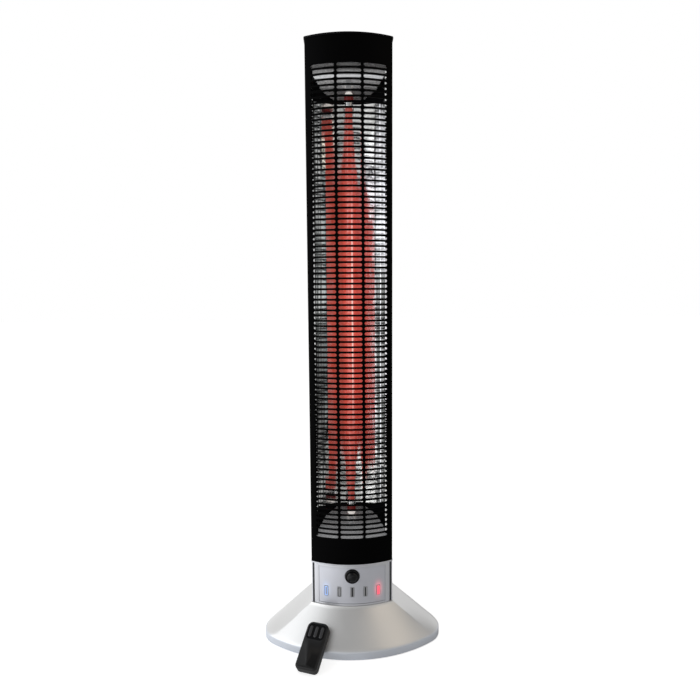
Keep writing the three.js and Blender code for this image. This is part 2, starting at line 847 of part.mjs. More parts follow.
// The board that carries the five switches behind the keys.
function controlBoard() {
  const half = halfWidth - controlWall - gap;
  const low = controlBottom + controlBoardMargin;
  const high = controlTop - controlBoardMargin;
  const board = block(-half, half, controlBoardY, controlBoardY + boardThickness, low, high);
  const reach = switchSize / 2;
  const switchBack = controlBoardY + joinDepth;
  const switches = Array.from({ length: keyCount }, (_, i) => {
    const x = keyX(i);
    return block(x - reach, x + reach, switchFace, switchBack, keyZ - reach, keyZ + reach);
  });
  return join(board, ...switches);
}

// Soldered pieces stand on the board's front face.
const boardFront = controlBoardY - gap;

function led(index) {
  const z = keyZ - ledBelowKey;
  const front = boardFront - ledDepth;
  return rodAlongY(ledDiameter, keyX(index), z, front, boardFront);
}

function infraredReceiver() {
  const half = receiverSize / 2;
  return block(-half, half, boardFront - receiverSize, boardFront, domeZ - half, domeZ + half);
}

const frameInner = frameHalfWidth - frameSheet;
const frameBoltX = frameHalfWidth - frameBoltFromLeg;
const powerBoardBottom = powerBoardZ - powerBoardHeight / 2;

function powerBoard() {
  const half = frameInner - gap;
  const back = powerBoardY + boardThickness;
  return block(-half, half, powerBoardY, back, powerBoardBottom, powerBoardBottom + powerBoardHeight);
}

function relay() {
  const back = powerBoardY - gap;
  const half = relayWidth / 2;
  const low = powerPartsZ - relayHeight / 2;
  return block(relayX - half, relayX + half, back - relayDepth, back, low, low + relayHeight);
}

function terminalBlock() {
  const back = powerBoardY - gap;
  const half = terminalWidth / 2;
  const low = terminalTop - terminalHeight;
  const body = block(terminalX - half, terminalX + half, back - terminalDepth, back, low, terminalTop);
  const bores = [-terminalPitch, 0, terminalPitch].map((x) => (
    rod(terminalBoreDiameter, terminalX + x, terminalY, low - cutPast, low + terminalBoreDepth, smallSides)
  ));
  return cut(body, ...bores);
}

function thermalCutout() {
  return rod(cutoutDiameter, cutoutX, cutoutY, bulkheadTop + gap, bulkheadTop + gap + cutoutHeight);
}

function cordInlet() {
  const wall = rearY(0);
  const outer = inletDiameter / 2;
  const flange = inletFlange / 2;
  const bore = inletBore / 2;
  const seat = -(wall + gap);
  const inside = -(wall - controlWall - inletInside);
  const outside = seat - inletFlangeThickness;
  const profile = [
    [bore, inside],
    [bore, outside],
    [flange - inletBevel, outside],
    [flange, outside + inletBevel],
    [flange, seat],
    [outer, seat],
    [outer, inside],
    [bore, inside],
  ];
  return turnedForward(profile).translate(0, 0, inletZ);
}

// ---------------------------------------------------------------- support frame and base

const frameTop = bulkheadBottom - gap;
const frameBottom = plateTop + gap;

// A U of steel strip: web on the base plate, two legs, and flanges under the column's floor.
function supportFrame() {
  const path = [
    point(-frameHalfWidth + frameFlange, frameTop),
    point(-frameHalfWidth, frameTop),
    point(-frameHalfWidth, frameBottom),
    point(frameHalfWidth, frameBottom),
    point(frameHalfWidth, frameTop),
    point(frameHalfWidth - frameFlange, frameTop),
  ];
  const strip = prism(bentSheet(path, frameSheet), 0, frameBack - frameFront);
  const frame = strip.rotateX(Math.PI / 2).translate(0, frameBack, 0);
  const middle = (frameFront + frameBack) / 2;
  const hole = frameBoltDiameter + 2 * gap;
  const holeTop = frameBottom + frameSheet + cutPast;
  const holes = [-1, 1].map((side) => (
    rod(hole, side * frameBoltX, middle, frameBottom - cutPast, holeTop)
  ));
  return cut(frame, ...holes);
}

function frameBolt(side) {
  const middle = (frameFront + frameBack) / 2;
  const under = frameBottom + frameSheet + gap;
  const low = plateBottom + gap;
  const profile = [
    [0, low],
    [frameBoltDiameter / 2, low],
    [frameBoltDiameter / 2, under],
    [frameBoltHead / 2, under],
    [frameBoltHead / 2, under + frameBoltHeadHeight],
    [0, under + frameBoltHeadHeight],
  ];
  return turned(profile, smallSides).translate(side * frameBoltX, middle, 0);
}

// Radius of a bow of the lens, tangent to both corner circles, that reaches this far out.
function lensBow(reach) {
  const cornerX = baseHalfWidth - baseCornerRadius;
  const r = baseCornerRadius;
  return (cornerX * cornerX + reach * reach - r * r) / (2 * (reach - r));
}

// The base's plan moved in by `inset`.
function baseOutline(inset) {
  const cornerX = baseHalfWidth - baseCornerRadius;
  const small = baseCornerRadius - inset;
  const stretch = (reach, way) => {
    const radius = lensBow(reach);
    const centre = baseCornerY - way * (reach - radius);
    const turn = Math.asin(cornerX / (radius - baseCornerRadius));
    return { radius: radius - inset, centre, turn };
  };
  const front = stretch(baseFrontReach, 1);
  const rear = stretch(baseRearReach, -1);
  const bow = (arc, way, from, to, steps) => spread(from, to, steps).map((angle) => (
    point(arc.radius * Math.sin(angle), arc.centre - way * arc.radius * Math.cos(angle))
  ));
  const corner = (side, from, to) => spread(from, to, sideFacets).slice(1, -1).map((angle) => (
    point(side * (cornerX + small * Math.sin(angle)), baseCornerY - small * Math.cos(angle))
  ));
  return [
    ...bow(front, 1, -front.turn, front.turn, frontFacets),
    ...corner(1, front.turn, Math.PI - rear.turn),
    ...bow(rear, -1, rear.turn, -rear.turn, rearFacets),
    ...corner(-1, Math.PI - rear.turn, front.turn),
  ];
}

// The column's plan with as many points in each stretch as baseOutline has.
function seatOutline(inset) {
  const half = halfWidth - inset;
  const side = (x, from, to) => spread(from, to, sideFacets).slice(1, -1).map((y) => point(x, y));
  const frontCorner = frontY(half, inset);
  const rearCorner = rearY(half, inset);
  return [
    ...spread(-half, half, frontFacets).map((x) => point(x, frontY(x, inset))),
    ...side(half, frontCorner, rearCorner),
    ...spread(half, -half, rearFacets).map((x) => point(x, rearY(x, inset))),
    ...side(-half, rearCorner, frontCorner),
  ];
}

const level = (outline, z) => outline.map((p) => new THREE.Vector3(p.x, p.y, z));

function between(a, b, share) {
  return a.map((p, i) => p.clone().lerp(b[i], share));
}

// The skirt's outside, or its inside when `wall` is its thickness.
function skirtBody(wall, bottom) {
  const rim = baseOutline(wall);
  const seat = seatOutline(wall - skirtSeat);
  const top = skirtHeight - wall;
  const lip = lipHeight - wall / 2;
  return loft([
    level(rim, bottom),
    level(rim, lip),
    level(between(seat, rim, skirtRoundedShare), lip + skirtRoundedHeight),
    level(between(seat, rim, skirtShoulderShare), lip + shoulderHeight),
    level(seat, top),
  ]);
}

const screwPlaces = [
  { name: 'front_left', x: -screwX, y: screwFrontY },
  { name: 'front_right', x: screwX, y: screwFrontY },
  { name: 'rear_left', x: -screwX, y: screwRearY },
  { name: 'rear_right', x: screwX, y: screwRearY },
];

function baseSkirt() {
  const outside = skirtBody(0, skirtFloorGap);
  const inside = skirtBody(skirtWall, skirtFloorGap - cutPast);
  const mouth = prism(columnOutline(controlWall + mouthLedge), skirtHeight / 2, skirtHeight);
  const shell = cut(outside, inside, mouth);
  const bossBottom = plateTop + gap;
  const bosses = screwPlaces.map(({ x, y }) => (
    common(outside, rod(bossDiameter, x, y, bossBottom, skirtHeight))
  ));
  const holeTop = plateBottom + screwLength + gap;
  const holes = screwPlaces.map(({ x, y }) => (
    rod(screwDiameter + 2 * gap, x, y, bossBottom - cutPast, holeTop, smallSides)
  ));
  return cut(join(shell, ...bosses), ...holes);
}

const footPlaces = [
  { name: 'front_left', x: -footX, y: footFrontY },
  { name: 'front_right', x: footX, y: footFrontY },
  { name: 'rear_left', x: -footX, y: footRearY },
  { name: 'rear_right', x: footX, y: footRearY },
];

function basePlate() {
  const plate = prism(baseOutline(skirtWall + gap), plateBottom, plateThickness);
  const low = plateBottom - cutPast;
  const high = plateTop + cutPast;
  const through = (diameter, x, y) => rod(diameter + 2 * gap, x, y, low, high);
  const middle = (frameFront + frameBack) / 2;
  return cut(
    plate,
    ...footPlaces.map(({ x, y }) => through(footStem, x, y)),
    ...screwPlaces.map(({ x, y }) => through(screwDiameter, x, y)),
    through(frameBoltDiameter, -frameBoltX, middle),
    through(frameBoltDiameter, frameBoltX, middle),
    through(plungerDiameter, plungerX, plungerY),
  );
}

function rubberFoot({ x, y }) {
  const radius = footDiameter / 2;
  const profile = [
    [0, 0],
    [radius - footBevel, 0],
    [radius, footBevel],
    [radius, footHeight],
    [footStem / 2, footHeight],
    [footStem / 2, footHeight + footStemLength],
    [0, footHeight + footStemLength],
  ];
  return turned(profile).translate(x, y, 0);
}

function baseScrew({ x, y }) {
  const headTop = plateBottom - gap;
  const profile = [
    [0, headTop - screwHeadHeight],
    [screwHead / 2, headTop - screwHeadHeight],
    [screwHead / 2, headTop],
    [screwDiameter / 2, headTop],
    [screwDiameter / 2, plateBottom + screwLength],
    [0, plateBottom + screwLength],
  ];
  return turned(profile, smallSides).translate(x, y, 0);
}

// Housing of the tip-over switch: a block with a round well that opens downwards.
function tipSwitch() {
  const halfX = tipSwitchWidth / 2;
  const halfY = tipSwitchDepth / 2;
  const low = plateTop + gap;
  const body = block(
    plungerX - halfX,
    plungerX + halfX,
    plungerY - halfY,
    plungerY + halfY,
    low,
    tipSwitchTop,
  );
  const wellTop = tipSwitchTop - tipSwitchRoof;
  return cut(body, rod(plungerCollar + 2 * gap, plungerX, plungerY, low - cutPast, wellTop));
}

// The plunger as the floor holds it, pressed in.
function tipPlunger() {
  const collarLow = plateTop + gap + plungerTravel;
  const collarHigh = collarLow + plungerCollarHeight;
  const radius = plungerDiameter / 2;
  const profile = [
    [0, 0],
    [radius - plungerBevel, 0],
    [radius, plungerBevel],
    [radius, collarLow],
    [plungerCollar / 2, collarLow],
    [plungerCollar / 2, collarHigh],
    [radius, collarHigh],
    [radius, plungerTop],
    [0, plungerTop],
  ];
  return turned(profile).translate(plungerX, plungerY, 0);
}

// ---------------------------------------------------------------- handset
// Drawn lying on its back: x across, y from foot to top, z from back to front.

function roundedRectangle(halfX, y0, y1, radius) {
  const centres = [
    [halfX - radius, y0 + radius, -Math.PI / 2],
    [halfX - radius, y1 - radius, 0],
    [-halfX + radius, y1 - radius, Math.PI / 2],
    [-halfX + radius, y0 + radius, Math.PI],
  ];
  return centres.flatMap(([x, y, start]) => spread(start, start + Math.PI / 2, cornerSteps).map((angle) => (
    point(x + radius * Math.cos(angle), y + radius * Math.sin(angle))
  )));
}

// The outside with its long edges rounded over.
function handsetBody() {
  const edge = handsetEdge;
  const half = handsetWidth / 2 - edge;
  const outline = roundedRectangle(half, edge, handsetLength - edge, handsetCorner - edge);
  const depth = handsetThickness - 2 * edge;
  const bevel = { bevelThickness: edge, bevelSize: edge, bevelSegments: 2 };
  const body = new THREE.ExtrudeGeometry(new THREE.Shape(outline), { depth, ...bevel });
  return body.translate(0, 0, edge);
}

function handsetHollow(inset) {
  const half = handsetWidth / 2 - inset;
  const outline = roundedRectangle(half, inset, handsetLength - inset, handsetCorner - inset);
  return prism(outline, handsetWall, handsetThickness - 2 * handsetWall);
}

const handsetHuge = handsetLength * 2;
const slabBelow = (z) => block(-handsetHuge, handsetHuge, -handsetHuge, handsetHuge, -handsetHuge, z);
const slabAbove = (z) => block(-handsetHuge, handsetHuge, -handsetHuge, handsetHuge, z, handsetHuge);
const handsetKeyX = (index) => (index - 1) * handsetKeyPitch;
const handsetKeyY = handsetLength - handsetKeyFromTop;

function handsetKeyOutline(index, grow) {
  const half = handsetKeyWidth / 2 + grow;
  const reach = handsetKeyLength / 2 + grow;
  const round = half * handsetKeyRoundShare;
  const outline = roundedRectangle(half, handsetKeyY - reach, handsetKeyY + reach, round);
  return outline.map((p) => point(p.x + handsetKeyX(index), p.y));
}

function handsetFront() {
  const holes = [0, 1, 2].map((index) => (
    prism(handsetKeyOutline(index, gap), handsetThickness / 2, handsetThickness)
  ));
  const shell = cut(handsetBody(), handsetHollow(handsetWall), slabBelow(handsetSplit));
  return cut(shell, ...holes);
}

const doorTop = doorFromFoot + doorLength;

function handsetBack() {
  const half = doorWidth / 2 + gap;
  const deep = handsetWall + cutPast;
  const opening = block(-half, half, doorFromFoot - gap, doorTop + gap, -cutPast, deep);
  return cut(handsetBody(), handsetHollow(handsetWall), slabAbove(handsetSplit - gap), opening);
}

function handsetDoor() {
  const half = doorWidth / 2;
  return block(-half, half, doorFromFoot, doorTop, doorInset, handsetWall);
}

function handsetBattery(side) {
  const x = side * (batteryDiameter / 2 + gap);
  const radius = batteryDiameter / 2;
  const body = batteryLength - batteryTip;
  const tip = batteryTipDiameter / 2;
  const profile = [
    [0, 0],
    [radius, 0],
    [radius, body],
    [tip, body],
    [tip, batteryLength],
    [0, batteryLength],
  ];
  const cell = turned(profile).rotateX(-Math.PI / 2);
  return cell.translate(x, batteryFromFoot, handsetWall + gap + radius);
}

// The board lies under the keys' lips, their travel and the pad.
const handsetKeyRoom = gap + handsetKeyLipThickness + handsetKeyTravel + handsetPadRoom;
const handsetBoardZ = handsetThickness - handsetWall - handsetKeyRoom - handsetBoardThickness;

function handsetBoard() {
  const half = handsetWidth / 2 - handsetWall - gap;
  const y0 = (handsetLength - handsetBoardLength) / 2;
  const outline = roundedRectangle(half, y0, y0 + handsetBoardLength, handsetBoardCorner);
  return prism(outline, handsetBoardZ, handsetBoardThickness);
}

function handsetKey(index) {
  const inside = handsetThickness - handsetWall - gap;
  const low = inside - handsetKeyLipThickness;
  const face = handsetThickness + handsetKeyProud;
  const lip = prism(handsetKeyOutline(index, handsetKeyLip), low, handsetKeyLipThickness);
  return join(prism(handsetKeyOutline(index, 0), low, face - low), lip);
}

// The handset stands on the floor on its foot, turned and leaning back, and is slid towards the
// skirt until its back would meet it.
function placeHandset(handset, body, skirt) {
  handset.rotation.set(handsetLean, 0, -handsetTurn, 'ZXY');
  handset.updateMatrixWorld(true);
  const leaning = body.clone().applyMatrix4(handset.matrixWorld);
  leaning.computeBoundingBox();
  const rise = -leaning.boundingBox.min.z;
  const wall = toSolid(skirt);
  const shape = toSolid(leaning);
  const tolerance = gap / 8;
  let free = handsetStart;
  let blocked = 0;
  while (blocked - free > tolerance) {
    const middle = (free + blocked) / 2;
    const meets = !shape.translate(handsetX, middle, rise).intersect(wall).isEmpty();
    if (meets) {
      blocked = middle;
    } else {
      free = middle;
    }
  }
  handset.position.set(handsetX, free - gap, rise);
}

// ---------------------------------------------------------------- assembly

const heater = new THREE.Group();

heater.add(
  mesh('front_grille', frontGrille(), satinBlack),
  mesh('rear_housing', rearHousing(), satinBlack),
  mesh('top_cap', topCap(), satinBlack),
  mesh('top_bulkhead', topBulkhead(), zincSteel),
  mesh('bottom_bulkhead', bottomBulkhead(), zincSteel),
  mesh('trim_ring', trimRing(), silverPaint),
  mesh('reflector', reflector(), mirrorAluminium),
  mesh('upper_end_plate', endPlate(1), mirrorAluminium),
  mesh('lower_end_plate', endPlate(-1), mirrorAluminium),
  mesh('upper_reflector_bracket', reflectorBracket(columnTop - bracketFromEnd), zincSteel),
  mesh('lower_reflector_bracket', reflectorBracket(columnBottom + bracketFromEnd), zincSteel),
  mesh('quartz_tube', quartzTube(), clearQuartz),
  mesh('carbon_filament', carbonFilament(), hotCarbon),
  mesh('upper_lamp_cap', lampCap(1), whiteCeramic),
  mesh('lower_lamp_cap', lampCap(-1), whiteCeramic),
  mesh('upper_lamp_seat', lampSeat(1), zincSteel),
  mesh('lower_lamp_seat', lampSeat(-1), zincSteel),
  mesh('upper_lamp_lead', upperLead(), siliconeLead),
  mesh('lower_lamp_lead', lowerLead(), siliconeLead),
  mesh('thermal_cutout', thermalCutout(), mattBlack),
);

heater.add(
  mesh('control_housing', controlHousing(), silverPaint),
  mesh('control_fascia', controlFascia(), silverPlastic),
  mesh('sensor_dome', sensorDome(), glossBlack),
  mesh('control_board', controlBoard(), greenBoard),
  mesh('infrared_receiver', infraredReceiver(), mattBlack),
  mesh('blue_led', led(0), blueGlow),
  mesh('red_led', led(keyCount - 1), redGlow),
  mesh('power_board', powerBoard(), greenBoard),
  mesh('relay', relay(), mattBlack),
  mesh('terminal_block', terminalBlock(), whiteCeramic),
  mesh('cord_inlet', cordInlet(), blackRubber),
);

const keyNames = ['power_key', 'timer_key', 'lower_key', 'raise_key', 'heat_key'];
keyNames.forEach((name, index) => {
  heater.add(mesh(name, key(index), keyGrey));
});

const skirtGeometry = baseSkirt();

heater.add(
  mesh('support_frame', supportFrame(), zincSteel),
  mesh('frame_bolt_left', frameBolt(-1), zincSteel),
  mesh('frame_bolt_right', frameBolt(1), zincSteel),
  mesh('base_skirt', skirtGeometry, silverPaint),
  mesh('base_plate', basePlate(), zincSteel),
  mesh('tip_switch', tipSwitch(), mattBlack),
  mesh('tip_plunger', tipPlunger(), mattBlack),
);
for (const place of footPlaces) {
  heater.add(mesh(`foot_${place.name}`, rubberFoot(place), blackRubber));
}
for (const place of screwPlaces) {
  heater.add(mesh(`base_screw_${place.name}`, baseScrew(place), zincSteel));
}

const handset = new THREE.Group();
handset.add(
  mesh('handset_front', handsetFront(), mattBlack),
  mesh('handset_back', handsetBack(), mattBlack),
  mesh('handset_battery_door', handsetDoor(), mattBlack),
  mesh('handset_battery_left', handsetBattery(-1), zincSteel),
  mesh('handset_battery_right', handsetBattery(1), zincSteel),
  mesh('handset_board', handsetBoard(), greenBoard),
);
['left', 'middle', 'right'].forEach((name, index) => {
  handset.add(mesh(`handset_key_${name}`, handsetKey(index), glossBlack));
});
placeHandset(handset, handsetBody(), skirtGeometry);
heater.add(handset);

// The origin is on the floor at the middle of the whole outline, handset included.
heater.updateMatrixWorld(true);
const bounds = new THREE.Box3().setFromObject(heater, true);
heater.position.y = -(bounds.min.y + bounds.max.y) / 2;

export default heater;
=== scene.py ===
# Infrared patio heater tower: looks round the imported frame.
# Lengths are in millimetres of the object's own frame and become metres in make(). Only the camera, the floor
# and the two lamps of the studio are placed in metres.
import json
from math import asin, cos, pi, radians, sin, sqrt

import bmesh
import bpy
import numpy as np
from mathutils import Matrix, Vector
from mathutils.geometry import delaunay_2d_cdt

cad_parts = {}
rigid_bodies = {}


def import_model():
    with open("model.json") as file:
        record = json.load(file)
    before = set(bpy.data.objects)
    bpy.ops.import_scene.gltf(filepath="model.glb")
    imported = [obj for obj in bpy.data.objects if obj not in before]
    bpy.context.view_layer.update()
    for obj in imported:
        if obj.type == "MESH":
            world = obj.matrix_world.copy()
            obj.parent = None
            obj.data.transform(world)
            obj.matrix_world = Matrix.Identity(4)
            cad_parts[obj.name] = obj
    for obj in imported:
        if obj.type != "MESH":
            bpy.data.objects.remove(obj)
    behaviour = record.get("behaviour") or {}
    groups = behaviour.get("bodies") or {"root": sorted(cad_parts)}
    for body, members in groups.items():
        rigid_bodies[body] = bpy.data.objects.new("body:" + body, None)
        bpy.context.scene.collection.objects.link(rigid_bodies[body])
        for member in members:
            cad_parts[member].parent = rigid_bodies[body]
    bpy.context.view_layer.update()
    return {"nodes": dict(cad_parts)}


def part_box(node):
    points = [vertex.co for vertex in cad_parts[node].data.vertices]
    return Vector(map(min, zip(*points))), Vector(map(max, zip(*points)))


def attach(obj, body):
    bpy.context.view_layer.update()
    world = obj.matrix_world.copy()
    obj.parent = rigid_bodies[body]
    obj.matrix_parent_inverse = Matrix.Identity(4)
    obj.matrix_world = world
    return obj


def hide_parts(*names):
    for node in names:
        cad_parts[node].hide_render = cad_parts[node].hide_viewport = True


for o in list(bpy.data.objects):
    bpy.data.objects.remove(o)
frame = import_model()
nodes = frame["nodes"]
scene = bpy.context.scene
scene.view_settings.view_transform = "Standard"


def lim(node):
    """Lowest and highest corner of a CAD node, in mm."""
    lo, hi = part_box(node)
    return np.array(lo) * 1000, np.array(hi) * 1000


def middle(node):
    """The middle of a CAD node, in mm."""
    return sum(lim(node)) / 2


def new_object(name, data):
    """A new object in the scene."""
    obj = bpy.data.objects.new(name, data)
    scene.collection.objects.link(obj)
    return obj


# ------ camera

CAM_AT = (-0.0165, -1.04443, 0.6489)
PITCH, YAW, ROLL = 0.1014, 0.0151, -0.0069  # in radians: down, to the right and about the line of sight
SENSOR = 36
FOCAL = 579.5 / 700 * SENSOR


def add_camera():
    """The photo's camera."""
    fwd = Vector((sin(YAW) * cos(PITCH), cos(YAW) * cos(PITCH), -sin(PITCH)))
    right = Vector((cos(YAW), -sin(YAW), 0))
    up = right.cross(fwd)
    c, s = cos(ROLL), sin(ROLL)
    x, y, z = c * right + s * up, c * up - s * right, -fwd
    data = bpy.data.cameras.new("camera")
    data.sensor_width = SENSOR
    data.lens = FOCAL
    data.clip_start = 0.05
    scene.camera = new_object("camera", data)
    scene.camera.matrix_world = Matrix([[x[i], y[i], z[i], CAM_AT[i]] for i in range(3)] + [[0, 0, 0, 1]])


add_camera()

# ------ materials


class Nodes:
    """Short hand for the nodes of a material, or of the world."""

    def __init__(self, name, owners=bpy.data.materials, shader="Principled BSDF"):
        self.owner = owners.new(name)
        self.owner.use_nodes = True
        self.tree = self.owner.node_tree
        self.shader = self.tree.nodes[shader]
        self.at = None

    def add(self, kind, **props):
        node = self.tree.nodes.new("ShaderNode" + kind)
        for key, value in props.items():
            setattr(node, key, value)
        return node

    def give(self, socket, value):
        """Links a socket, or sets its value."""
        if isinstance(value, bpy.types.NodeSocket):
            self.tree.links.new(value, socket)
        else:
            socket.default_value = (*value, 1) if isinstance(value, tuple) else value

    def fill(self, node, **values):
        """Gives a node's sockets, by their names, a link or a value."""
        for key, value in values.items():
            self.give(node.inputs[key.replace("_", " ")], value)
        return node

    def set(self, **values):
        """The same for the shader."""
        self.fill(self.shader, **values)
        return self

    def coords(self, stretch=(1, 1, 1)):
        """Object coordinates in mm, stretched."""
        if self.at is None:
            self.at = self.add("TexCoord").outputs["Object"]
        grow = self.fill(self.add("Mapping"), Vector=self.at)
        grow.inputs["Scale"].default_value = tuple(1000 * s for s in stretch)
        return grow.outputs["Vector"]

    def axis(self, name):
        """One of the object coordinates, in mm."""
        return self.fill(self.add("SeparateXYZ"), Vector=self.coords()).outputs[name]

    def noise(self, scale, detail=3.0, stretch=(1, 1, 1)):
        node = self.fill(self.add("TexNoise"), Scale=scale, Detail=detail, Roughness=0.55)
        return self.fill(node, Vector=self.coords(stretch)).outputs["Fac"]

    def ramp(self, value, low, high, a=0.0, b=1.0, **props):
        """a where the value is low and b where it is high."""
        node = self.add("MapRange", **props)
        return self.fill(node, Value=value, From_Min=low, From_Max=high, To_Min=a, To_Max=b).outputs["Result"]

    def band(self, value, low, high, soft=0.8):
        """1 between low and high, with soft edges that are 0 at both."""
        return self.times(self.ramp(value, low, low + soft), self.ramp(value, high - soft, high, 1.0, 0.0))

    def mix(self, share, a, b, blend="MIX"):
        node = self.add("Mix", data_type="RGBA", blend_type=blend)
        for place, value in ((0, share), (6, a), (7, b)):
            self.give(node.inputs[place], value)
        return node.outputs[2]

    def math(self, kind, *values):
        node = self.add("Math", operation=kind)
        for socket, value in zip(node.inputs, values):
            self.give(socket, value)
        return node.outputs[0]

    def times(self, a, b):
        return self.math("MULTIPLY", a, b)

    def bump(self, height, strength, mm):
        node = self.fill(self.add("Bump"), Height=height, Strength=strength, Distance=mm / 1000)
        self.set(Normal=node.outputs["Normal"])

    def by_share(self, name, stops):
        """Values that change over a CAD node's height, as the sockets red, green and blue. stops are
        (share of the height, red, green, blue)."""
        lo, hi = lim(name)
        bands = self.fill(self.add("ValToRGB"), Fac=self.ramp(self.axis("Z"), lo[2], hi[2]))
        marks = bands.color_ramp.elements
        for k, (at, *values) in enumerate(stops):
            mark = marks[0] if k == 0 else marks[-1] if k == len(stops) - 1 else marks.new(at)
            mark.position = at
            mark.color = (*values, 1)
        return self.fill(self.add("SeparateColor"), Color=bands.outputs["Color"]).outputs

    def by_height(self, name, stops):
        """The same, with the stops' heights in mm."""
        lo, hi = lim(name)
        return self.by_share(name, [((z - lo[2]) / (hi[2] - lo[2]), *values) for z, *values in stops])


WHITE = (1.0, 1.0, 1.0)
CLOUDY = 0.3, 0.7  # most noise fades over this range
PATCHY = 0.35, 0.65  # and this one gives slightly firmer patches


def finish(name, color, rough, metal=0.0, spec=0.5, grain=0.8, bumpy=0.02, vary=0.06, tone=0.04, coat=0.0,
           stretch=(1, 1, 1)):
    """Painted, moulded or plain metal surface: a fine grain, uneven gloss and a slight change of tone."""
    m = Nodes(name).set(Metallic=metal, Specular_IOR_Level=spec, Coat_Weight=coat, Coat_Roughness=0.08)
    wide = m.noise(0.012)
    dark, light = (tuple(min(1.0, c * part) for c in color) for part in (1 - tone, 1 + tone))
    m.set(Roughness=m.ramp(wide, *CLOUDY, rough - vary, rough + vary),
          Base_Color=m.mix(m.ramp(wide, *PATCHY), dark, light))
    if bumpy:
        m.bump(m.noise(grain, 2.0, stretch), 0.5, bumpy)
    return m


def glow(name, color, strength, base):
    """A lit surface whose own colour is a little cloudy."""
    m = Nodes(name).set(Roughness=0.3, Emission_Color=color, Emission_Strength=strength)
    m.set(Base_Color=m.mix(m.noise(0.6, 2.0), base, tuple(min(1, c * 1.3) for c in base)))
    return m


# material's name, colour, roughness, metal, specular level, noise scale of its grain, bump in mm, change of
# gloss, change of tone, coat and stretch of the grain
PLAIN = {
    "black": ("black_satin_paint", (0.0009, 0.0009, 0.001), 0.4, 0.0, 0.02, 1.4, 0.012, 0.05),
    "black_back": ("black_satin_housing", (0.0022, 0.0022, 0.0025), 0.36, 0.0, 0.16, 1.4, 0.012, 0.05),
    "cap": ("cap_black_plastic", (0.0016, 0.0016, 0.002), 0.32, 0.0, 0.06, 1.8, 0.012, 0.05),
    "silver": ("silver_lacquer", (0.66, 0.672, 0.715), 0.33, 0.72, 0.5, 5.0, 0.012, 0.04, 0.015, 0.1),
    "key": ("key_plastic", (0.45, 0.46, 0.48), 0.34, 0.2, 0.5, 3.0, 0.01, 0.04),
    "mark": ("dark_inlay", (0.03, 0.03, 0.035), 0.3, 0.0, 0.5, 3.0, 0.01, 0.04),
    "groove": ("groove_shadow_grey", (0.05, 0.052, 0.058), 0.5, 0.2, 0.4, 3.0, 0.01, 0.04),
    "dome": ("gloss_black_lens", (0.002, 0.002, 0.003), 0.06, 0.0, 0.25, 2.0, 0.0, 0.02),
    "matt": ("matt_black_moulding", (0.009, 0.009, 0.01), 0.5, 0.0, 0.35, 2.2, 0.03, 0.06),
    "keygloss": ("gloss_black_key", (0.032, 0.032, 0.036), 0.2, 0.0, 0.6, 2.0, 0.01, 0.04, 0.04, 0.3),
    "field": ("gloss_black_field", (0.003, 0.003, 0.004), 0.12, 0.0, 0.2, 2.0, 0.008, 0.03),
    "rubber": ("black_rubber", (0.012, 0.012, 0.013), 0.75, 0.0, 0.3, 1.5, 0.05, 0.08),
    "zinc": ("zinc_plated_steel", (0.5, 0.5, 0.51), 0.42, 0.9, 0.5, 0.5, 0.02, 0.1, 0.12),
    "steel": ("battery_steel", (0.55, 0.55, 0.56), 0.28, 1.0, 0.5, 0.8, 0.01, 0.06, 0.04, 0.0, (1, 1, 0.1)),
    "board": ("board_laminate", (0.02, 0.11, 0.045), 0.4, 0.0, 0.5, 2.0, 0.02, 0.06, 0.15),
    "ceramic": ("white_ceramic", (0.78, 0.76, 0.72), 0.42, 0.0, 0.5, 1.4, 0.03, 0.06, 0.03),
    # the lamp ends' ceramic: a lighter copy of the white ceramic, which is painted light
    "painted_lit_ceramic": ("lamplit_ceramic", (0.86, 0.84, 0.8), 0.35, 0.0, 0.5, 1.4, 0.03, 0.06, 0.03),
    "silicone": ("silicone_sleeve", (0.66, 0.63, 0.58), 0.6, 0.0, 0.4, 1.2, 0.04, 0.06),
    "red_band": ("red_lamp_band", (0.3, 0.012, 0.01), 0.35, 0.0, 0.5, 2.0, 0.01, 0.05),
    "collar": ("nickel_collar", (0.72, 0.72, 0.73), 0.2, 1.0, 0.5, 1.0, 0.01, 0.05, 0.04, 0.0, (1, 1, 0.2)),
    # black on the trough past the plates and at its left step: painted shade
    "painted_shade_black": ("blackened_aluminium", (0.004, 0.004, 0.005), 0.6, 0.0, 0.05, 1.0, 0.02, 0.08),
    "skirt": ("silver_moulding", (0.79, 0.79, 0.788), 0.37, 0.72, 0.5, 5.0, 0.012, 0.04, 0.02, 0.1),
    "fascia": ("fascia_lacquer", (0.64, 0.655, 0.715), 0.33, 0.72, 0.5, 5.0, 0.012, 0.04, 0.015, 0.1),
}


def skirt_finish(m):
    """Painted shade: the skirt's upright lip is tinted a little cooler and darker than its slope."""
    lacquer = m.shader.inputs["Base Color"].links[0].from_socket
    # painted shade: below 14 to 18 mm the lip's colour is multiplied darker and bluer
    painted_lip_shade = m.mix(m.ramp(m.axis("Z"), 14, 18), (0.9, 0.95, 1.04), WHITE)
    m.set(Base_Color=m.mix(1.0, lacquer, painted_lip_shade, "MULTIPLY"))


def fascia_finish(m):
    """Painted glow: a little of the two key lights' glow is painted on the fascia beside their keys, as the
    fascia's own emission.
    """
    above, half_w, half_h = 2.5, 5.6, 11.5  # the glow's middle over the key's, and its reach
    painted_glows = []
    for node, color, power in (("power_key", (0.2, 0.45, 1.0), 0.42), ("heat_key", (1.0, 0.1, 0.16), 0.8)):
        x, _, z = middle(node)
        away = [m.math("DIVIDE", m.math("SUBTRACT", m.axis(name), at), reach)
                for name, at, reach in (("X", x, half_w), ("Z", z + above, half_h))]
        square = m.math("ADD", *(m.times(d, d) for d in away))
        fade = m.times(m.math("EXPONENT", m.times(square, -1.0)), power)
        painted_glows.append(m.mix(fade, (0.0, 0.0, 0.0), color))
    # the fascia's emission is a painted glow; the fascia is no lamp
    m.set(Emission_Color=m.mix(1.0, *painted_glows, "ADD"), Emission_Strength=1.0)


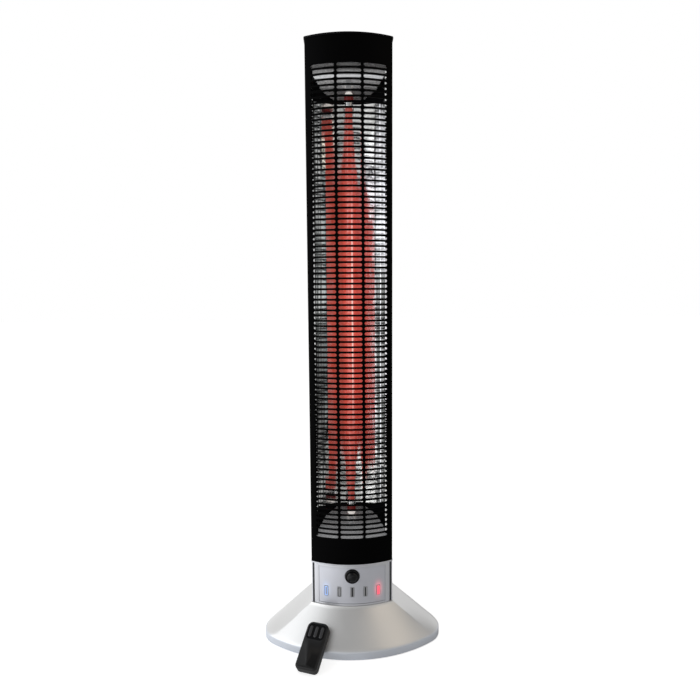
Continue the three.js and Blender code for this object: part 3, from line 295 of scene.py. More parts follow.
def reflector_finish():
    """Polished aluminium with rolling lines along its length and shallow dents, tinted darker at its left and
    right sides over its middle heights.
    """
    m = Nodes("polished_aluminium").set(Metallic=1.0)
    lines = m.noise(0.35, 4.0, (1, 1, 0.01))
    dents = m.noise(0.045, 2.0, (1, 1, 0.55))
    metal = m.mix(m.ramp(dents, *PATCHY), (0.78, 0.79, 0.78), (0.93, 0.93, 0.92))
    right = m.mix(m.ramp(m.axis("X"), 9, 14), WHITE, (0.83, 0.8, 0.84))
    sides = m.mix(m.ramp(m.axis("X"), -14, -9), (0.7, 0.77, 0.78), right)
    mid_heights = m.by_height("reflector", ((325, 0, 0, 0), (375, 1, 0, 0), (850, 1, 0, 0), (910, 0, 0, 0)))
    side_tint = m.mix(mid_heights["Red"], WHITE, sides)
    m.set(Base_Color=m.mix(1.0, metal, side_tint, "MULTIPLY"), Roughness=m.ramp(lines, *CLOUDY, 0.07, 0.17))
    m.bump(m.math("MULTIPLY_ADD", dents, 14.0, lines), 0.55, 0.05)
    return m


def plate_finish(node, painted_light_and_shade):
    """A slanted plate: dulled aluminium, rolled across, with painted light and shade over its height. These
    are given as (share of the height, tone, lamplight): the tone is painted shade that darkens the plate, the
    lamplight a painted glow.
    """
    m = Nodes("dull_aluminium_" + node.split("_")[0]).set(Metallic=0.85, Emission_Color=(0.95, 0.97, 1.0))
    lines = m.noise(0.5, 4.0, (0.02, 1, 1))
    wide = m.noise(0.09, 2.0, (0.05, 1, 1))
    parts = m.by_share(node, [(*stop, 0) for stop in painted_light_and_shade])
    # painted shade and light: the tone darkens the plate band by band, and the lamplight makes a band glow
    tone = m.times(parts["Red"], m.ramp(wide, *CLOUDY, 0.6, 1.0))
    painted_lamplight = m.times(parts["Green"], m.ramp(wide, *CLOUDY, 0.8, 1.1))
    m.set(Base_Color=m.mix(tone, (0.02, 0.02, 0.02), (0.95, 0.95, 0.96)), Emission_Strength=painted_lamplight,
          Roughness=m.ramp(lines, *CLOUDY, 0.2, 0.3))
    m.bump(lines, 0.4, 0.03)
    return m


def wing_finish():
    """The trough's wings: streaked lengthwise, duller than its middle, with painted light and shade over
    their height, and polished high up on the right, where a painted glow brightens them.
    """
    m = Nodes("streaked_aluminium").set(Metallic=1.0, Emission_Color=(0.93, 0.95, 1.0))
    streaks = m.noise(0.55, 3.0, (1, 1, 0.006))
    # red is the painted light and shade on the left, green that on the right, and blue how far the right is
    # polished and given a painted glow
    painted_light_and_shade = m.by_height("reflector", (
        (160, 0.8, 0.6, 0), (310, 0.95, 0.62, 0), (345, 0.7, 0.5, 0), (390, 0.42, 0.42, 0),
        (447, 0.5, 0.6, 0), (520, 0.6, 0.32, 0), (560, 0.9, 0.38, 0), (633, 0.95, 0.5, 0),
        (665, 0.8, 0.66, 0), (705, 0.85, 1, 1), (860, 0.85, 1, 1), (940, 0.9, 0.88, 0.6),
        (985, 0.85, 0.65, 0), (1020, 0.8, 0.6, 0)))
    right = m.math("GREATER_THAN", m.axis("X"), 0.0)
    metal = m.mix(m.ramp(streaks, 0.42, 0.58), (0.3, 0.32, 0.31), (0.93, 0.93, 0.93))
    # a painted highlight runs down the middle of the right wing: a brighter line that glows like caught
    # lamplight
    painted_highlight_line = m.band(m.axis("X"), 54.2, 56.6)
    polish_and_painted_glow = m.math("MAXIMUM", m.times(right, painted_light_and_shade["Blue"]), painted_highlight_line)
    metal = m.mix(polish_and_painted_glow, metal, (0.96, 0.96, 1.0))
    tone = m.mix(right, painted_light_and_shade["Red"], painted_light_and_shade["Green"])
    # the polished part and the line glow: painted highlight
    m.set(Emission_Strength=m.math("MULTIPLY_ADD", polish_and_painted_glow, 0.22, m.times(painted_highlight_line, 0.45)),
          Base_Color=m.mix(1.0, metal, tone, "MULTIPLY"), Roughness=m.ramp(streaks, *CLOUDY, 0.2, 0.06))
    m.bump(streaks, 0.5, 0.04)
    return m


def lamp_glass():
    """The heated tube: red glow that is strongest along the middle and dies off at the ends."""
    lo, hi = lim("quartz_tube")
    x, y, _ = middle("quartz_tube")
    m = Nodes("heated_quartz").set(Roughness=0.08, Coat_Weight=1.0, Coat_Roughness=0.03)
    from_middle = m.math("MULTIPLY_ADD", m.ramp(m.axis("Z"), lo[2], hi[2]), 2.0, -1.0)
    arch = m.math("SUBTRACT", 1.0, m.math("POWER", m.math("ABSOLUTE", from_middle), 2.4))
    coil = m.noise(0.25, 2.0, (0.2, 0.2, 1))
    front = m.ramp(m.axis("Y"), y - 3, y + 1, 1.0, 0.0)
    # painted highlight: a paler line stands right of the middle, on the front of the hottest stretch
    painted_highlight_line = m.times(m.band(m.axis("X"), x + 2.2, x + 5.6), front)
    painted_highlight_line = m.times(painted_highlight_line, m.ramp(arch, 0.7, 1.0))
    face = m.mix(painted_highlight_line, (1.0, 0.19, 0.15), (1.0, 0.62, 0.55))
    power = m.times(m.ramp(arch, 0, 1, 0.12, 1.0), m.ramp(coil, *CLOUDY, 0.52, 0.66))
    # the front half glows paler than the back: painted highlight
    m.set(Emission_Color=m.mix(front, (1.0, 0.12, 0.08), face),
          Emission_Strength=m.math("ADD", power, m.times(painted_highlight_line, 0.4)),
          Base_Color=m.mix(coil, (0.45, 0.03, 0.02), (0.55, 0.06, 0.04)))
    return m


def looks():
    """Every material of the object by its short name."""
    made = {key: finish(*row) for key, row in PLAIN.items()}
    # and it glows: painted lamplight on the lamp ends' ceramic, which is no lamp
    made["painted_lit_ceramic"].set(Emission_Color=(1.0, 0.93, 0.88), Emission_Strength=0.42)
    skirt_finish(made["skirt"])
    fascia_finish(made["fascia"])
    made.update(
        mirror=reflector_finish(),
        wing=wing_finish(),
        tube=lamp_glass(),
        # the plates' stops give their painted light and shade over the height
        plate_up=plate_finish("upper_end_plate", (
            (0.0, 0.4, 0.0), (0.28, 0.5, 0.0), (0.32, 1.0, 0.05), (0.45, 1.0, 0.06), (0.47, 1.0, 0.4),
            (0.53, 1.0, 0.4), (0.55, 1.0, 0.06), (0.61, 1.0, 0.05), (0.64, 0.45, 0.0), (1.0, 0.4, 0.0))),
        plate_low=plate_finish("lower_end_plate", (
            (0.0, 1.0, 0.15), (0.2, 1.0, 0.15), (0.45, 1.0, 0.08), (0.7, 0.9, 0.02), (1.0, 0.5, 0.0))),
        carbon=glow("hot_carbon", (1.0, 0.16, 0.06), 4.0, (0.05, 0.02, 0.02)),
        blue=glow("blue_light", (0.26, 0.5, 1.0), 1.0, (0.3, 0.42, 0.75)),
        red=glow("red_light", (1.0, 0.07, 0.12), 1.0, (0.8, 0.15, 0.2)),
        blue_led=glow("blue_led", (0.1, 0.35, 1.0), 6.0, (0.3, 0.5, 0.9)),
        red_led=glow("red_led", (1.0, 0.04, 0.06), 6.0, (0.9, 0.2, 0.25)))
    return {key: m.owner for key, m in made.items()}


LOOKS = looks()


# ------ mesh helpers

def make(name, verts, faces, look, node, slot, angle=32, bevel=0.0, body="tower"):
    """A piece from points in mm that replaces a node. look is a material's short name, or a list of them from
    which each face's second value picks."""
    mesh = bpy.data.meshes.new(name)
    picks = None
    if isinstance(look, list):
        faces, picks = zip(*faces)
    mesh.from_pydata([[float(c) / 1000 for c in v] for v in verts], [], [list(map(int, f)) for f in faces])
    for key in look if picks else [look]:
        mesh.materials.append(LOOKS[key])
    if picks:
        mesh.polygons.foreach_set("material_index", picks)
    bm = bmesh.new()
    bm.from_mesh(mesh)
    bmesh.ops.remove_doubles(bm, verts=bm.verts, dist=2e-6)
    bmesh.ops.dissolve_degenerate(bm, edges=bm.edges, dist=1e-7)
    bmesh.ops.recalc_face_normals(bm, faces=bm.faces)
    bm.to_mesh(mesh)
    bm.free()
    mesh.polygons.foreach_set("use_smooth", [True] * len(mesh.polygons))
    mesh.set_sharp_from_angle(angle=radians(angle))
    obj = new_object(name, mesh)
    if bevel:
        mod = obj.modifiers.new("bevel", "BEVEL")
        mod.width = bevel / 1000
        mod.segments = 2
        mod.limit_method = "ANGLE"
        mod.angle_limit = radians(angle)
        mod.harden_normals = True
    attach(obj, body)
    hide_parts(node)


def loft(rings, around=True, along=False, lids=False):
    """Quads between rings of equal point count. along closes the last ring to the first."""
    rings = [np.asarray(r, float) for r in rings]
    n, k = len(rings[0]), len(rings)
    verts = [tuple(p) for r in rings for p in r]
    faces = []
    for j in range(k if along else k - 1):
        for i in range(n if around else n - 1):
            a, b = j * n + i, j * n + (i + 1) % n
            c, d = (j + 1) % k * n + (i + 1) % n, (j + 1) % k * n + i
            faces.append((a, b, c, d))
    if lids:
        faces.append(tuple(range(n)))
        faces.append(tuple((k - 1) * n + i for i in reversed(range(n))))
    return verts, faces


def join(*parts):
    """One set of points and faces from several. A part's third value, if it has one, picks its material."""
    verts, faces = [], []
    for v, f, *pick in parts:
        moved = [tuple(len(verts) + i for i in q) for q in f]
        faces += [(q, *pick) for q in moved] if pick else moved
        verts.extend(v)
    return verts, faces


def sheet_ends(verts, n):
    """The two end faces of a lofted sheet whose section of n points runs out and back."""
    return [(k + i, k + i + 1, k + n - 2 - i, k + n - 1 - i)
            for k in (0, len(verts) - n) for i in range(n // 2 - 1)]


def at_z(plan, z):
    return [(x, y, z) for x, y in plan]


def lathe(profile, centre, axis, sides):
    """A turned skin about Z, or about -Y, from [radius, distance] pairs. Radius 0 closes at the axis."""
    a = np.linspace(0, 2 * pi, sides, endpoint=False)
    rings = []
    for r, h in profile:
        x, y, h = centre[0] + r * np.cos(a), r * np.sin(a), np.full(sides, h)
        rings.append(np.column_stack([x, y + centre[1], h] if axis == "Z" else [x, -h, y + centre[2]]))
    return loft(rings)


def arc(cx, cy, r, a0, a1, steps):
    """Points of an arc in degrees, as (x, y)."""
    return [(cx + r * cos(radians(a)), cy + r * sin(radians(a)))
            for a in np.linspace(a0, a1, steps + 1)]


def rounded(half, y0, y1, r, steps=6, x=0.0):
    """A rectangle about x with rounded corners, anticlockwise."""
    right, left = x + half - r, x - half + r
    return (arc(right, y0 + r, r, -90, 0, steps) + arc(right, y1 - r, r, 0, 90, steps)
            + arc(left, y1 - r, r, 90, 180, steps) + arc(left, y0 + r, r, 180, 270, steps))


def grown(loop, grow):
    """A closed anticlockwise outline, moved outwards."""
    loop = np.asarray(loop, float)
    ahead = np.roll(loop, -1, 0) - np.roll(loop, 1, 0)
    ahead /= np.linalg.norm(ahead, axis=1)[:, None]
    return loop + grow * np.column_stack([ahead[:, 1], -ahead[:, 0]])


def inside(p, loop):
    """Whether a place lies inside a closed outline."""
    x, y = loop[:, 0], loop[:, 1]
    x2, y2 = np.roll(x, -1), np.roll(y, -1)
    hit = (y > p[1]) != (y2 > p[1])
    with np.errstate(divide="ignore", invalid="ignore"):
        cross = x + (p[1] - y) / (y2 - y) * (x2 - x)
    return bool(np.count_nonzero(hit & (p[0] < cross)) % 2)


def filled(loops, cuts):
    """Points and triangles between an outline and its holes. cuts are x values where the face may bend."""
    pts, edges = [], []
    for loop in loops:
        base, n = len(pts), len(loop)
        pts += [Vector(p) for p in loop]
        edges += [(base + i, base + (i + 1) % n) for i in range(n)]
    low, high = min(loops[0][:, 1]) - 1, max(loops[0][:, 1]) + 1
    for x in cuts:
        edges.append((len(pts), len(pts) + 1))
        pts += [Vector((x, low)), Vector((x, high))]
    coords, _, tris = delaunay_2d_cdt(pts, edges, [], 0, 1e-5)[:3]
    kept = []
    for tri in tris:
        mid = sum((coords[i] for i in tri), Vector((0, 0))) / 3
        if inside(mid, loops[0]) and not any(inside(mid, loop) for loop in loops[1:]):
            kept.append(tuple(tri))
    return coords, kept


def panel(outer, holes, edge, place, cuts=()):
    """A plate from a closed outline with holes. edge holds (depth, grow) of its edge's rings from the front
    to the back: grow lets the holes out and draws the outline in. place maps (x, z, depth) to the object."""
    depths = [depth for depth, _ in edge]
    loops = [[grown(outer, -grow)] + [grown(hole, grow) for hole in holes] for _, grow in edge]
    parts = []
    for k, way in ((0, 1), (-1, -1)):
        coords, tris = filled(loops[k], cuts)
        parts.append(([place(*c, depths[k]) for c in coords], [tri[::way] for tri in tris]))
    for rings in zip(*loops):
        parts.append(loft([[place(*p, depth) for p in ring] for ring, depth in zip(rings, depths)]))
    return join(*parts)


# ------ column plan

HALF = lim("front_grille")[1][0]  # half the column's width
BOW, SIDE, REAR_BOW, BEND = 19.0, 76.0, 12.0, 2.5
CORNER = lim("front_grille")[0][1] + BOW  # y of the front corners
FRONT_R = (HALF ** 2 + BOW ** 2) / (2 * BOW)
REAR_R = (HALF ** 2 + REAR_BOW ** 2) / (2 * REAR_BOW)


def front_y(x, inset=0.0):
    return CORNER - (sqrt((FRONT_R - inset) ** 2 - x * x) - (FRONT_R - BOW))


def rear_y(x, inset=0.0):
    return CORNER + SIDE + sqrt((REAR_R - inset) ** 2 - x * x) - (REAR_R - REAR_BOW)


def front_point(x, depth, inset=0.0):
    """A place `depth` behind the bow, or behind a face at inset, measured square to it."""
    y, r = front_y(x, inset), FRONT_R - inset
    return x - depth * x / r, y + depth * (CORNER - BOW + FRONT_R - y) / r


def on_bow(x, z, depth, inset=0.0):
    return (*front_point(x, depth, inset), z)


def corner_arc(inset, rear=False):
    """Soft right-hand corner from the bow to the side."""
    half = HALF - inset
    bow = rear_y if rear else front_y
    edge = bow(half, inset)
    way = -1 if rear else 1
    a, c, b = (half - BEND, bow(half - BEND, inset)), (half, edge), (half, edge + way * BEND)
    return [tuple((1 - t) ** 2 * a[i] + 2 * t * (1 - t) * c[i] + t * t * b[i] for i in (0, 1))
            for t in np.linspace(0, 1, 6)]


def round_back(right, inset, side_steps=4):
    """The column's outline from the right-hand points given, along the side and the rear, to their mirror
    images on the left."""
    half = HALF - inset
    rear = corner_arc(inset, True)[::-1]
    side = [(half, y) for y in np.linspace(right[-1][1], rear[0][1], side_steps + 1)[1:-1]]
    right = right + side + rear
    back = [(x, rear_y(x, inset)) for x in np.linspace(half - BEND, -half + BEND, 41)[1:-1]]
    return right + back + [(-x, y) for x, y in right[::-1]]


def plan(inset):
    """The column's outline, moved in by inset, anticlockwise from the front's left end."""
    half = HALF - inset
    front = [(x, front_y(x, inset)) for x in np.linspace(-half + BEND, half - BEND, 49)]
    return front + round_back(corner_arc(inset)[1:], inset)


# ------ grille

def slot_loops(z, run, cell, r, soft, h):
    """A slot's round-ended hole, its soft outer edge and the rim of its cell, with equal counts of points."""
    turn = 8
    hole, wide, rim = [], [], []
    for way, xs, edge in ((1, run, cell[1]), (-1, run[::-1], cell[0])):
        for loop, radius in ((hole, r), (wide, r + soft)):
            loop += [(x, z + way * radius) for x in xs]
            loop += arc(xs[-1], z, radius, 90 * way, 90 * way - 180, turn)[1:-1]
        near = (edge + xs[-1]) / 2
        rim += [(x, z + way * h) for x in xs + [near]]
        rim += [(edge, z + way * h * t) for t in (1, 0.5, 0, -0.5, -1)] + [(near, z - way * h)]
    return hole, wide, rim


def grille():
    """The bowed sheet with its slots, its plain ends and its two sides."""
    lo, hi = lim("front_grille")
    sheet, pitch, slot_r, rows, soft, raised = 1.2, 9.24, 2.85, 90, 0.28, 2.0
    rib, rib_half, margin, cell_margin = 22.8, 2.0, 9.7, 8.0
    inner, outer = rib - rib_half, rib + rib_half
    ends = [(-HALF + margin, -outer), (-inner, inner), (outer, HALF - margin)]
    cells = [(-HALF + cell_margin, -rib), (-rib, rib), (rib, HALF - cell_margin)]
    # side stretch past the cells: the rest of the bow, the corner and the return, outside and inside
    side = [front_point(x, 0) + front_point(x, sheet) for x in (HALF - cell_margin, HALF - 5, HALF - BEND)]
    corner = corner_arc(0.0)[1:]
    for i, (x, y) in enumerate(corner):
        a = radians(90) * (i + 1) / len(corner)
        side.append((x, y, x - sheet * sin(a), y + sheet * cos(a)))
    side += [(HALF, y, HALF - sheet, y) for y in np.linspace(corner[-1][1], hi[1], 3)[1:]]
    h = pitch / 2
    first = middle("front_grille")[2] + raised - h * (rows - 1)
    parts = []
    cols = set()
    for (xa, xb), cell in zip(ends, cells):
        run = list(np.linspace(xa + slot_r, xb - slot_r, 7))
        near = [(cell[0] + run[0]) / 2, (cell[1] + run[-1]) / 2]
        cols |= {round(x, 6) for x in [*cell, *near, *run]}
        for row in range(rows):
            hole, wide, rim = slot_loops(first + row * pitch, run, cell, slot_r, soft, h)
            layers = ((rim, 0), (wide, 0), (hole, soft), (hole, sheet), (rim, sheet))
            parts.append(loft([[on_bow(x, z, depth) for x, z in loop] for loop, depth in layers]))
    for z, end in ((first - h, lo[2]), (first + rows * pitch - h, hi[2])):
        layers = ((z, 0), (end, 0), (end, sheet), (z, sheet))
        parts.append(loft([[on_bow(x, z, depth) for x in sorted(cols)] for z, depth in layers], around=False))
    zs = [lo[2]] + [first - h + h / 2 * i for i in range(4 * rows + 1)] + [hi[2]]
    for s in (1, -1):
        section = [(s * x, y) for x, y, _, _ in side] + [(s * x, y) for _, _, x, y in side[::-1]]
        v, f = loft([at_z(section, z) for z in zs], around=False)
        parts.append((v, f + sheet_ends(v, len(section))))
    make("grille", *join(*parts), "black", "front_grille", "satin_black", angle=40)


grille()


# ------ column

def column_back():
    """The open sheet round the column's sides and back."""
    lo, hi = lim("rear_housing")
    outer, inner = (round_back([(HALF - inset, lo[1])], inset, 1) for inset in (0.0, 1.2))
    section = outer + inner[::-1]
    v, f = loft([at_z(section, z) for z in (lo[2], hi[2])])
    f += sheet_ends(v, len(section))
    make("column_back", v, f, "black_back", "rear_housing", "satin_black", bevel=0.3)


def top_cap():
    """The thin overhanging cap with its rounded edge."""
    lo, hi = lim("top_cap")
    over, r, chamfer = HALF - hi[0], 1.1, 0.4
    rings = [at_z(plan(over + chamfer), lo[2]), at_z(plan(over), lo[2] + chamfer)]
    for a in np.radians((0, 22.5, 45, 67.5, 90)):
        rings.append(at_z(plan(over + r * (1 - cos(a))), hi[2] - r * (1 - sin(a))))
    make("cap", *loft(rings, lids=True), "cap", "top_cap", "satin_black", angle=50)


def trim_ring():
    """The silver ring with softened edges under the grille."""
    lo, hi = lim("trim_ring")
    over, inner = HALF - hi[0], 5.0
    edge = ((0.5, 0.0), (0.12, 0.35), (0.0, 0.9))
    section = [(over + x, lo[2] + z) for x, z in edge] + [(over + x, hi[2] - z) for x, z in edge[::-1]]
    section += [(inner, hi[2]), (inner, lo[2])]
    make("trim", *loft([at_z(plan(i), z) for i, z in section], along=True), "silver", "trim_ring",
         "silver_metal", angle=50)


column_back()
top_cap()
trim_ring()


# ------ control section

FASCIA_IN = 0.5  # how far the fascia lies behind the housing's bow
# half the width of a bar-shaped mark, or None for a ring, then its material and whether its middle is filled
KEYS = {
    "power_key": (None, "blue", False),
    "timer_key": (None, "mark", False),
    "lower_key": (1.7, "mark", True),
    "raise_key": (1.3, "mark", True),
    "heat_key": (None, "red", True),
}


def control_housing():
    """The housing with its two upright grooves and the window for the fascia."""
    lo, hi = lim("control_housing")
    fascia_lo, fascia_hi = lim("control_fascia")
    wall, gap, soft, near = 3.0, 0.3, 0.35, 1e-6
    win = fascia_hi[0] + gap
    g0, g1 = HALF - 5.5, HALF - 2.0  # the groove's two edges
    floor = CORNER - 0.39
    bead = list(np.linspace(win, g0, 8)[1:])
    bow = [-x for x in bead[::-1]] + list(np.linspace(-win, win, 57)) + bead

    def crown(x):
        """The slim bead between the fascia's window and the groove."""
        return 0.42 * sin(pi * (abs(x) - win) / (g0 - win)) if abs(x) > win else 0.0

    def outer(inset):
        corner = corner_arc(inset)
        edge_y = np.interp(g1, *zip(*corner))
        right = [(g0, floor), (g1, floor), (g1, edge_y)] + corner[1:]
        return [(x, front_y(x, inset) - crown(x)) for x in bow] + round_back(right, inset)

    def inner(skin):
        """The inside wall, point for point behind the outside."""
        pts = []
        for x, y in skin:
            if abs(x) <= g0 + near and y < CORNER:
                pts.append((x * (1 - wall / FRONT_R) if abs(x) < g0 - near else x, front_y(x, wall)))
            else:
                rear = rear_y(min(abs(x), HALF - wall), wall)
                pts.append((max(-HALF + wall, min(HALF - wall, x)), min(max(y, CORNER + 0.6), rear)))
        return pts

    skin = outer(0.0)
    ends = outer(0.25)
    lining = inner(skin)
    zs = [lo[2], lo[2] + soft, fascia_lo[2] - gap, fascia_hi[2] + gap, hi[2] - soft, hi[2]]
    n, k = len(skin), len(zs)
    verts = []
    for z, loop in zip(zs + zs, [ends] + [skin] * (k - 2) + [ends] + [lining] * k):
        verts += at_z(loop, z)
    faces = []

    def quad(row, other, i, pick=0):
        """A face from point i to the next one, between two rows of points."""
        i2 = (i + 1) % n
        faces.append(((row * n + i, row * n + i2, other * n + i2, other * n + i), pick))

    def stretches(test):
        """For each stretch between two points of the outside, whether both pass a test."""
        passed = [test(x, y) for x, y in skin]
        return [a and b for a, b in zip(passed, passed[1:] + passed[:1])]

    in_window = stretches(lambda x, y: abs(x) <= win + near and y < CORNER - 1)
    dark = stretches(lambda x, y: abs(y - floor) < near)
    for i in range(n):
        for j in range(k - 1):
            if not (in_window[i] and j == 2):
                quad(j, j + 1, i, int(dark[i]))
                quad(k + j, k + j + 1, i)
        # the ends, and rows 2 and 3, which are the window's lower and upper edge
        for j in (0, 2, 3, k - 1) if in_window[i] else (0, k - 1):
            quad(j, k + j, i)
        if in_window[i] != in_window[i - 1]:
            faces.append(((2 * n + i, 3 * n + i, (k + 3) * n + i, (k + 2) * n + i), 0))
    make("housing", verts, faces, ["silver", "groove"], "control_housing", "silver_metal", angle=35,
         bevel=0.25)


def control_fascia():
    """A bowed plate with five key openings and the dome's hole."""
    lo, hi = lim("control_fascia")
    thick, soft = 2.5, 0.22
    dome_r, half_w, half_h = 13.8, 3.8, 9.8
    holes = [arc(0, middle("sensor_dome")[2], dome_r, 0, 360, 64)[:-1]]
    for name in KEYS:
        x, _, z = middle(name)
        holes.append(rounded(half_w, z - half_h, z + half_h, 1.6, x=x))
    outline = rounded(hi[0], lo[2], hi[2], 0.8, 3)
    edge = [(0, soft), (soft, 0), (thick, 0)]
    bends = np.linspace(-hi[0], hi[0], 42)[1:-1]
    v, f = panel(outline, holes, edge, lambda x, z, depth: on_bow(x, z, depth, FASCIA_IN), bends)
    make("fascia", v, f, "fascia", "control_fascia", "fascia_silver", angle=30)


def front_key(name, bar, lit, solid):
    """A rounded key cap that follows the bow and has a ring or a bar as its mark."""
    x0, _, z0 = middle(name)
    half_w, half_h, deep, proud = 3.5, 9.5, 4.0, 0.8

    def shape(half, short, r):
        """A rounded outline on the key that ends `short` of its ends."""
        return rounded(half, z0 - half_h + short, z0 + half_h - short, r, x=x0)

    def ring(loop, depth, wide=1.0, high=1.0):
        return [(x, front_y(x, FASCIA_IN) - proud + depth, z)
                for x, z in ((x0 + (x - x0) * wide, z0 + (z - z0) * high) for x, z in loop)]

    cap = shape(half_w, 0, 1.4)
    if bar:
        mark, core = shape(bar, 0.8, 0.9), shape(bar - 0.6, 1.6, 0.6)
    else:
        mark, core = shape(half_w - 1.15, 1.15, 0.9), shape(half_w - 2.1, 2.1, 0.6)
    rings = [ring(cap, deep), ring(cap, 0.35), ring(cap, 0.1, 0.97, 0.99), ring(cap, 0, 0.9, 0.965),
             ring(mark, 0), ring(mark, 0.12), ring(core, 0.12), ring(core, 0.02)]
    v, f = loft(rings)
    n = len(cap)
    # bands 4 and 5 are the mark's edge and floor, and band 6 and the last face its middle
    marked = (4, 5, 6) if solid else (4, 5)
    faces = [(q, int(k // n in marked)) for k, q in enumerate(f)]
    faces.append((tuple(len(v) - 1 - i for i in range(n)), int(solid)))
    faces.append((tuple(range(n)), 0))
    make(name + "_cap", v, faces, ["key", lit], name, "key_grey", angle=40, body=name + "_body")


def dome():
    """The black lens in its raised ring, turned about the line towards the front."""
    lo, hi = lim("sensor_dome")
    front, lip, seat = -lo[1], -hi[1], -front_y(0, FASCIA_IN)
    r, lip_r, lip_deep, lens_r = 13.5, 15.0, 1.5, 10.0
    round_r, round_h, lens_at = 1.9, 2.6, seat + 2.3
    prof = [(0, lip), (lip_r, lip), (lip_r, lip + lip_deep), (r, lip + lip_deep), (r, seat + 0.5)]
    for a in np.radians(range(0, 91, 9)):
        prof.append((r - round_r + round_r * cos(a), seat + 0.5 + round_h * sin(a)))
    prof += [(lens_r + 0.7, seat + 2.75), (lens_r + 0.35, lens_at), (lens_r, lens_at)]
    for a in np.linspace(0, pi / 2, 15)[1:-1]:
        prof.append((lens_r * cos(a), lens_at + (front - lens_at) * sin(a)))
    prof.append((0, front))
    make("dome", *lathe(prof, (0, 0, middle("sensor_dome")[2]), "Y", 72), "dome", "sensor_dome",
         "gloss_black", angle=40)


control_housing()
control_fascia()
for name, mark in KEYS.items():
    front_key(name, *mark)
dome()


# ------ reflector

def reflector():
    """The bent trough: a smooth bow behind the lamp that is squarer towards its held ends, flat wings and
    flanges. It is polished between the slanted plates; past them, and along the step between its left flange
    and wing, it is painted black as painted shade."""
    lo, hi = lim("reflector")
    sheet, trough_half, squarer_from, blend_from, blend = 0.8, 48.0, 20.0, 14.0, 8.0
    curve = 117.0  # the bow's depth is x squared over this
    bottom, rim = hi[1] - sheet, lo[1] + sheet
    ends = (lim("lower_end_plate")[1][2] + 2.5, lim("upper_end_plate")[0][2] - 2.5)
    # how far the held ends make themselves felt: below and above, and at the left, middle and right
    reach = ((140.0, 180.0, 90.0), (160.0, 200.0, 220.0))

    def section(held, midway, right):
        """Half the section, from the middle outwards. held and midway are 0 between the ends and 1 at them:
        held counts near the wing and midway near the middle."""
        bowed_to, lean = (45, 1.3) if right else (42, 0.0)  # the right flange leans towards the light
        pts, y = [(0.0, bottom)], bottom
        for x in np.arange(0.5, trough_half, 1.0):
            w = midway + (held - midway) * min(1.0, max(0.0, (x - blend_from) / blend))
            bow = 2 * x / curve if x < bowed_to else 0.2
            past = max(0.0, x - squarer_from)
            square = 0.03 + (0.16 * min(past, 1.6) if right else 0.0356 * past)
            y -= (1 - w) * bow + w * square
            pts.append((x + 0.5, y))
        return pts + [(61.0, y - 2.5), (62.2, rim + lean), (hi[0], rim)]

    def ring(z):
        """The whole section, front and back, at one height."""
        high = z - ends[0] >= ends[1] - z
        near = ends[1] - z if high else z - ends[0]
        share = [min(1.0, max(0.0, 1 - near / r)) for r in reach[int(high)]]
        left, midway, right = [t * t * (3 - 2 * t) for t in share]
        front = [(-x, y) for x, y in section(left, midway, False)[::-1]] + section(right, midway, True)[1:]
        front = np.array(front)
        ahead = np.vstack([front[1:], front[-1:]]) - np.vstack([front[:1], front[:-1]])
        ahead /= np.linalg.norm(ahead, axis=1)[:, None]
        back = front + sheet * np.column_stack([-ahead[:, 1], ahead[:, 0]])
        back[:, 1] = np.clip(back[:, 1], rim, hi[1])
        return at_z((*front, *back[::-1]), z)

    zs = [lo[2], *np.linspace(*ends, 25), hi[2]]
    v, f = loft([ring(z) for z in zs])
    n = len(v) // len(zs)
    half = n // 2
    faces = []
    for i, q in enumerate(f):
        band, k = i // n, i % n
        # painted shade: the end bands' front and the step by the left flange are painted black
        painted_shade_black = band in (0, len(zs) - 2) and k < half - 2 or k == 1
        wing = k in (0, 2, half - 3, half - 4)
        faces.append((q, 1 if painted_shade_black else 2 if wing else 0))
    faces += [(q, 0) for q in sheet_ends(v, n)]
    make("reflector_trough", v, faces, ["mirror", "painted_shade_black", "wing"], "reflector", "reflector_aluminium",
         angle=12)


reflector()


# ------ lamp

def lamp_tube():
    """The clear tube, open at its ends."""
    lo, hi = lim("quartz_tube")
    r, wall, chamfer, soft = (hi[0] - lo[0]) / 2, 1.0, 0.4, 0.6
    prof = [(r - wall, lo[2]), (r - chamfer, lo[2])]
    prof += [(r, z) for z in np.linspace(lo[2] + soft, hi[2] - soft, 21)]
    prof += [(r - chamfer, hi[2]), (r - wall, hi[2]), (r - wall, lo[2])]
    make("lamp_tube", *lathe(prof, middle("quartz_tube"), "Z", 40), "tube", "quartz_tube", "quartz")


def lamp_coil():
    """A flat carbon ribbon wound into a long spiral inside the tube."""
    lo, hi = lim("carbon_filament")
    x, y, _ = middle("quartz_tube")
    turns, steps, margin = 62, 62 * 14, 4
    inner, outer, half_h = 3.9, 4.3, 1.6
    ribbon = ((inner, -half_h), (outer, -half_h), (outer, half_h), (inner, half_h))
    rings = []
    for t in np.linspace(0, 1, steps + 1):
        a = 2 * pi * turns * t
        z = lo[2] + margin + (hi[2] - lo[2] - 2 * margin) * t
        rings.append([(x + r * cos(a), y + r * sin(a), z + dz) for r, dz in ribbon])
    make("lamp_coil", *loft(rings, lids=True), "carbon", "carbon_filament", "carbon")


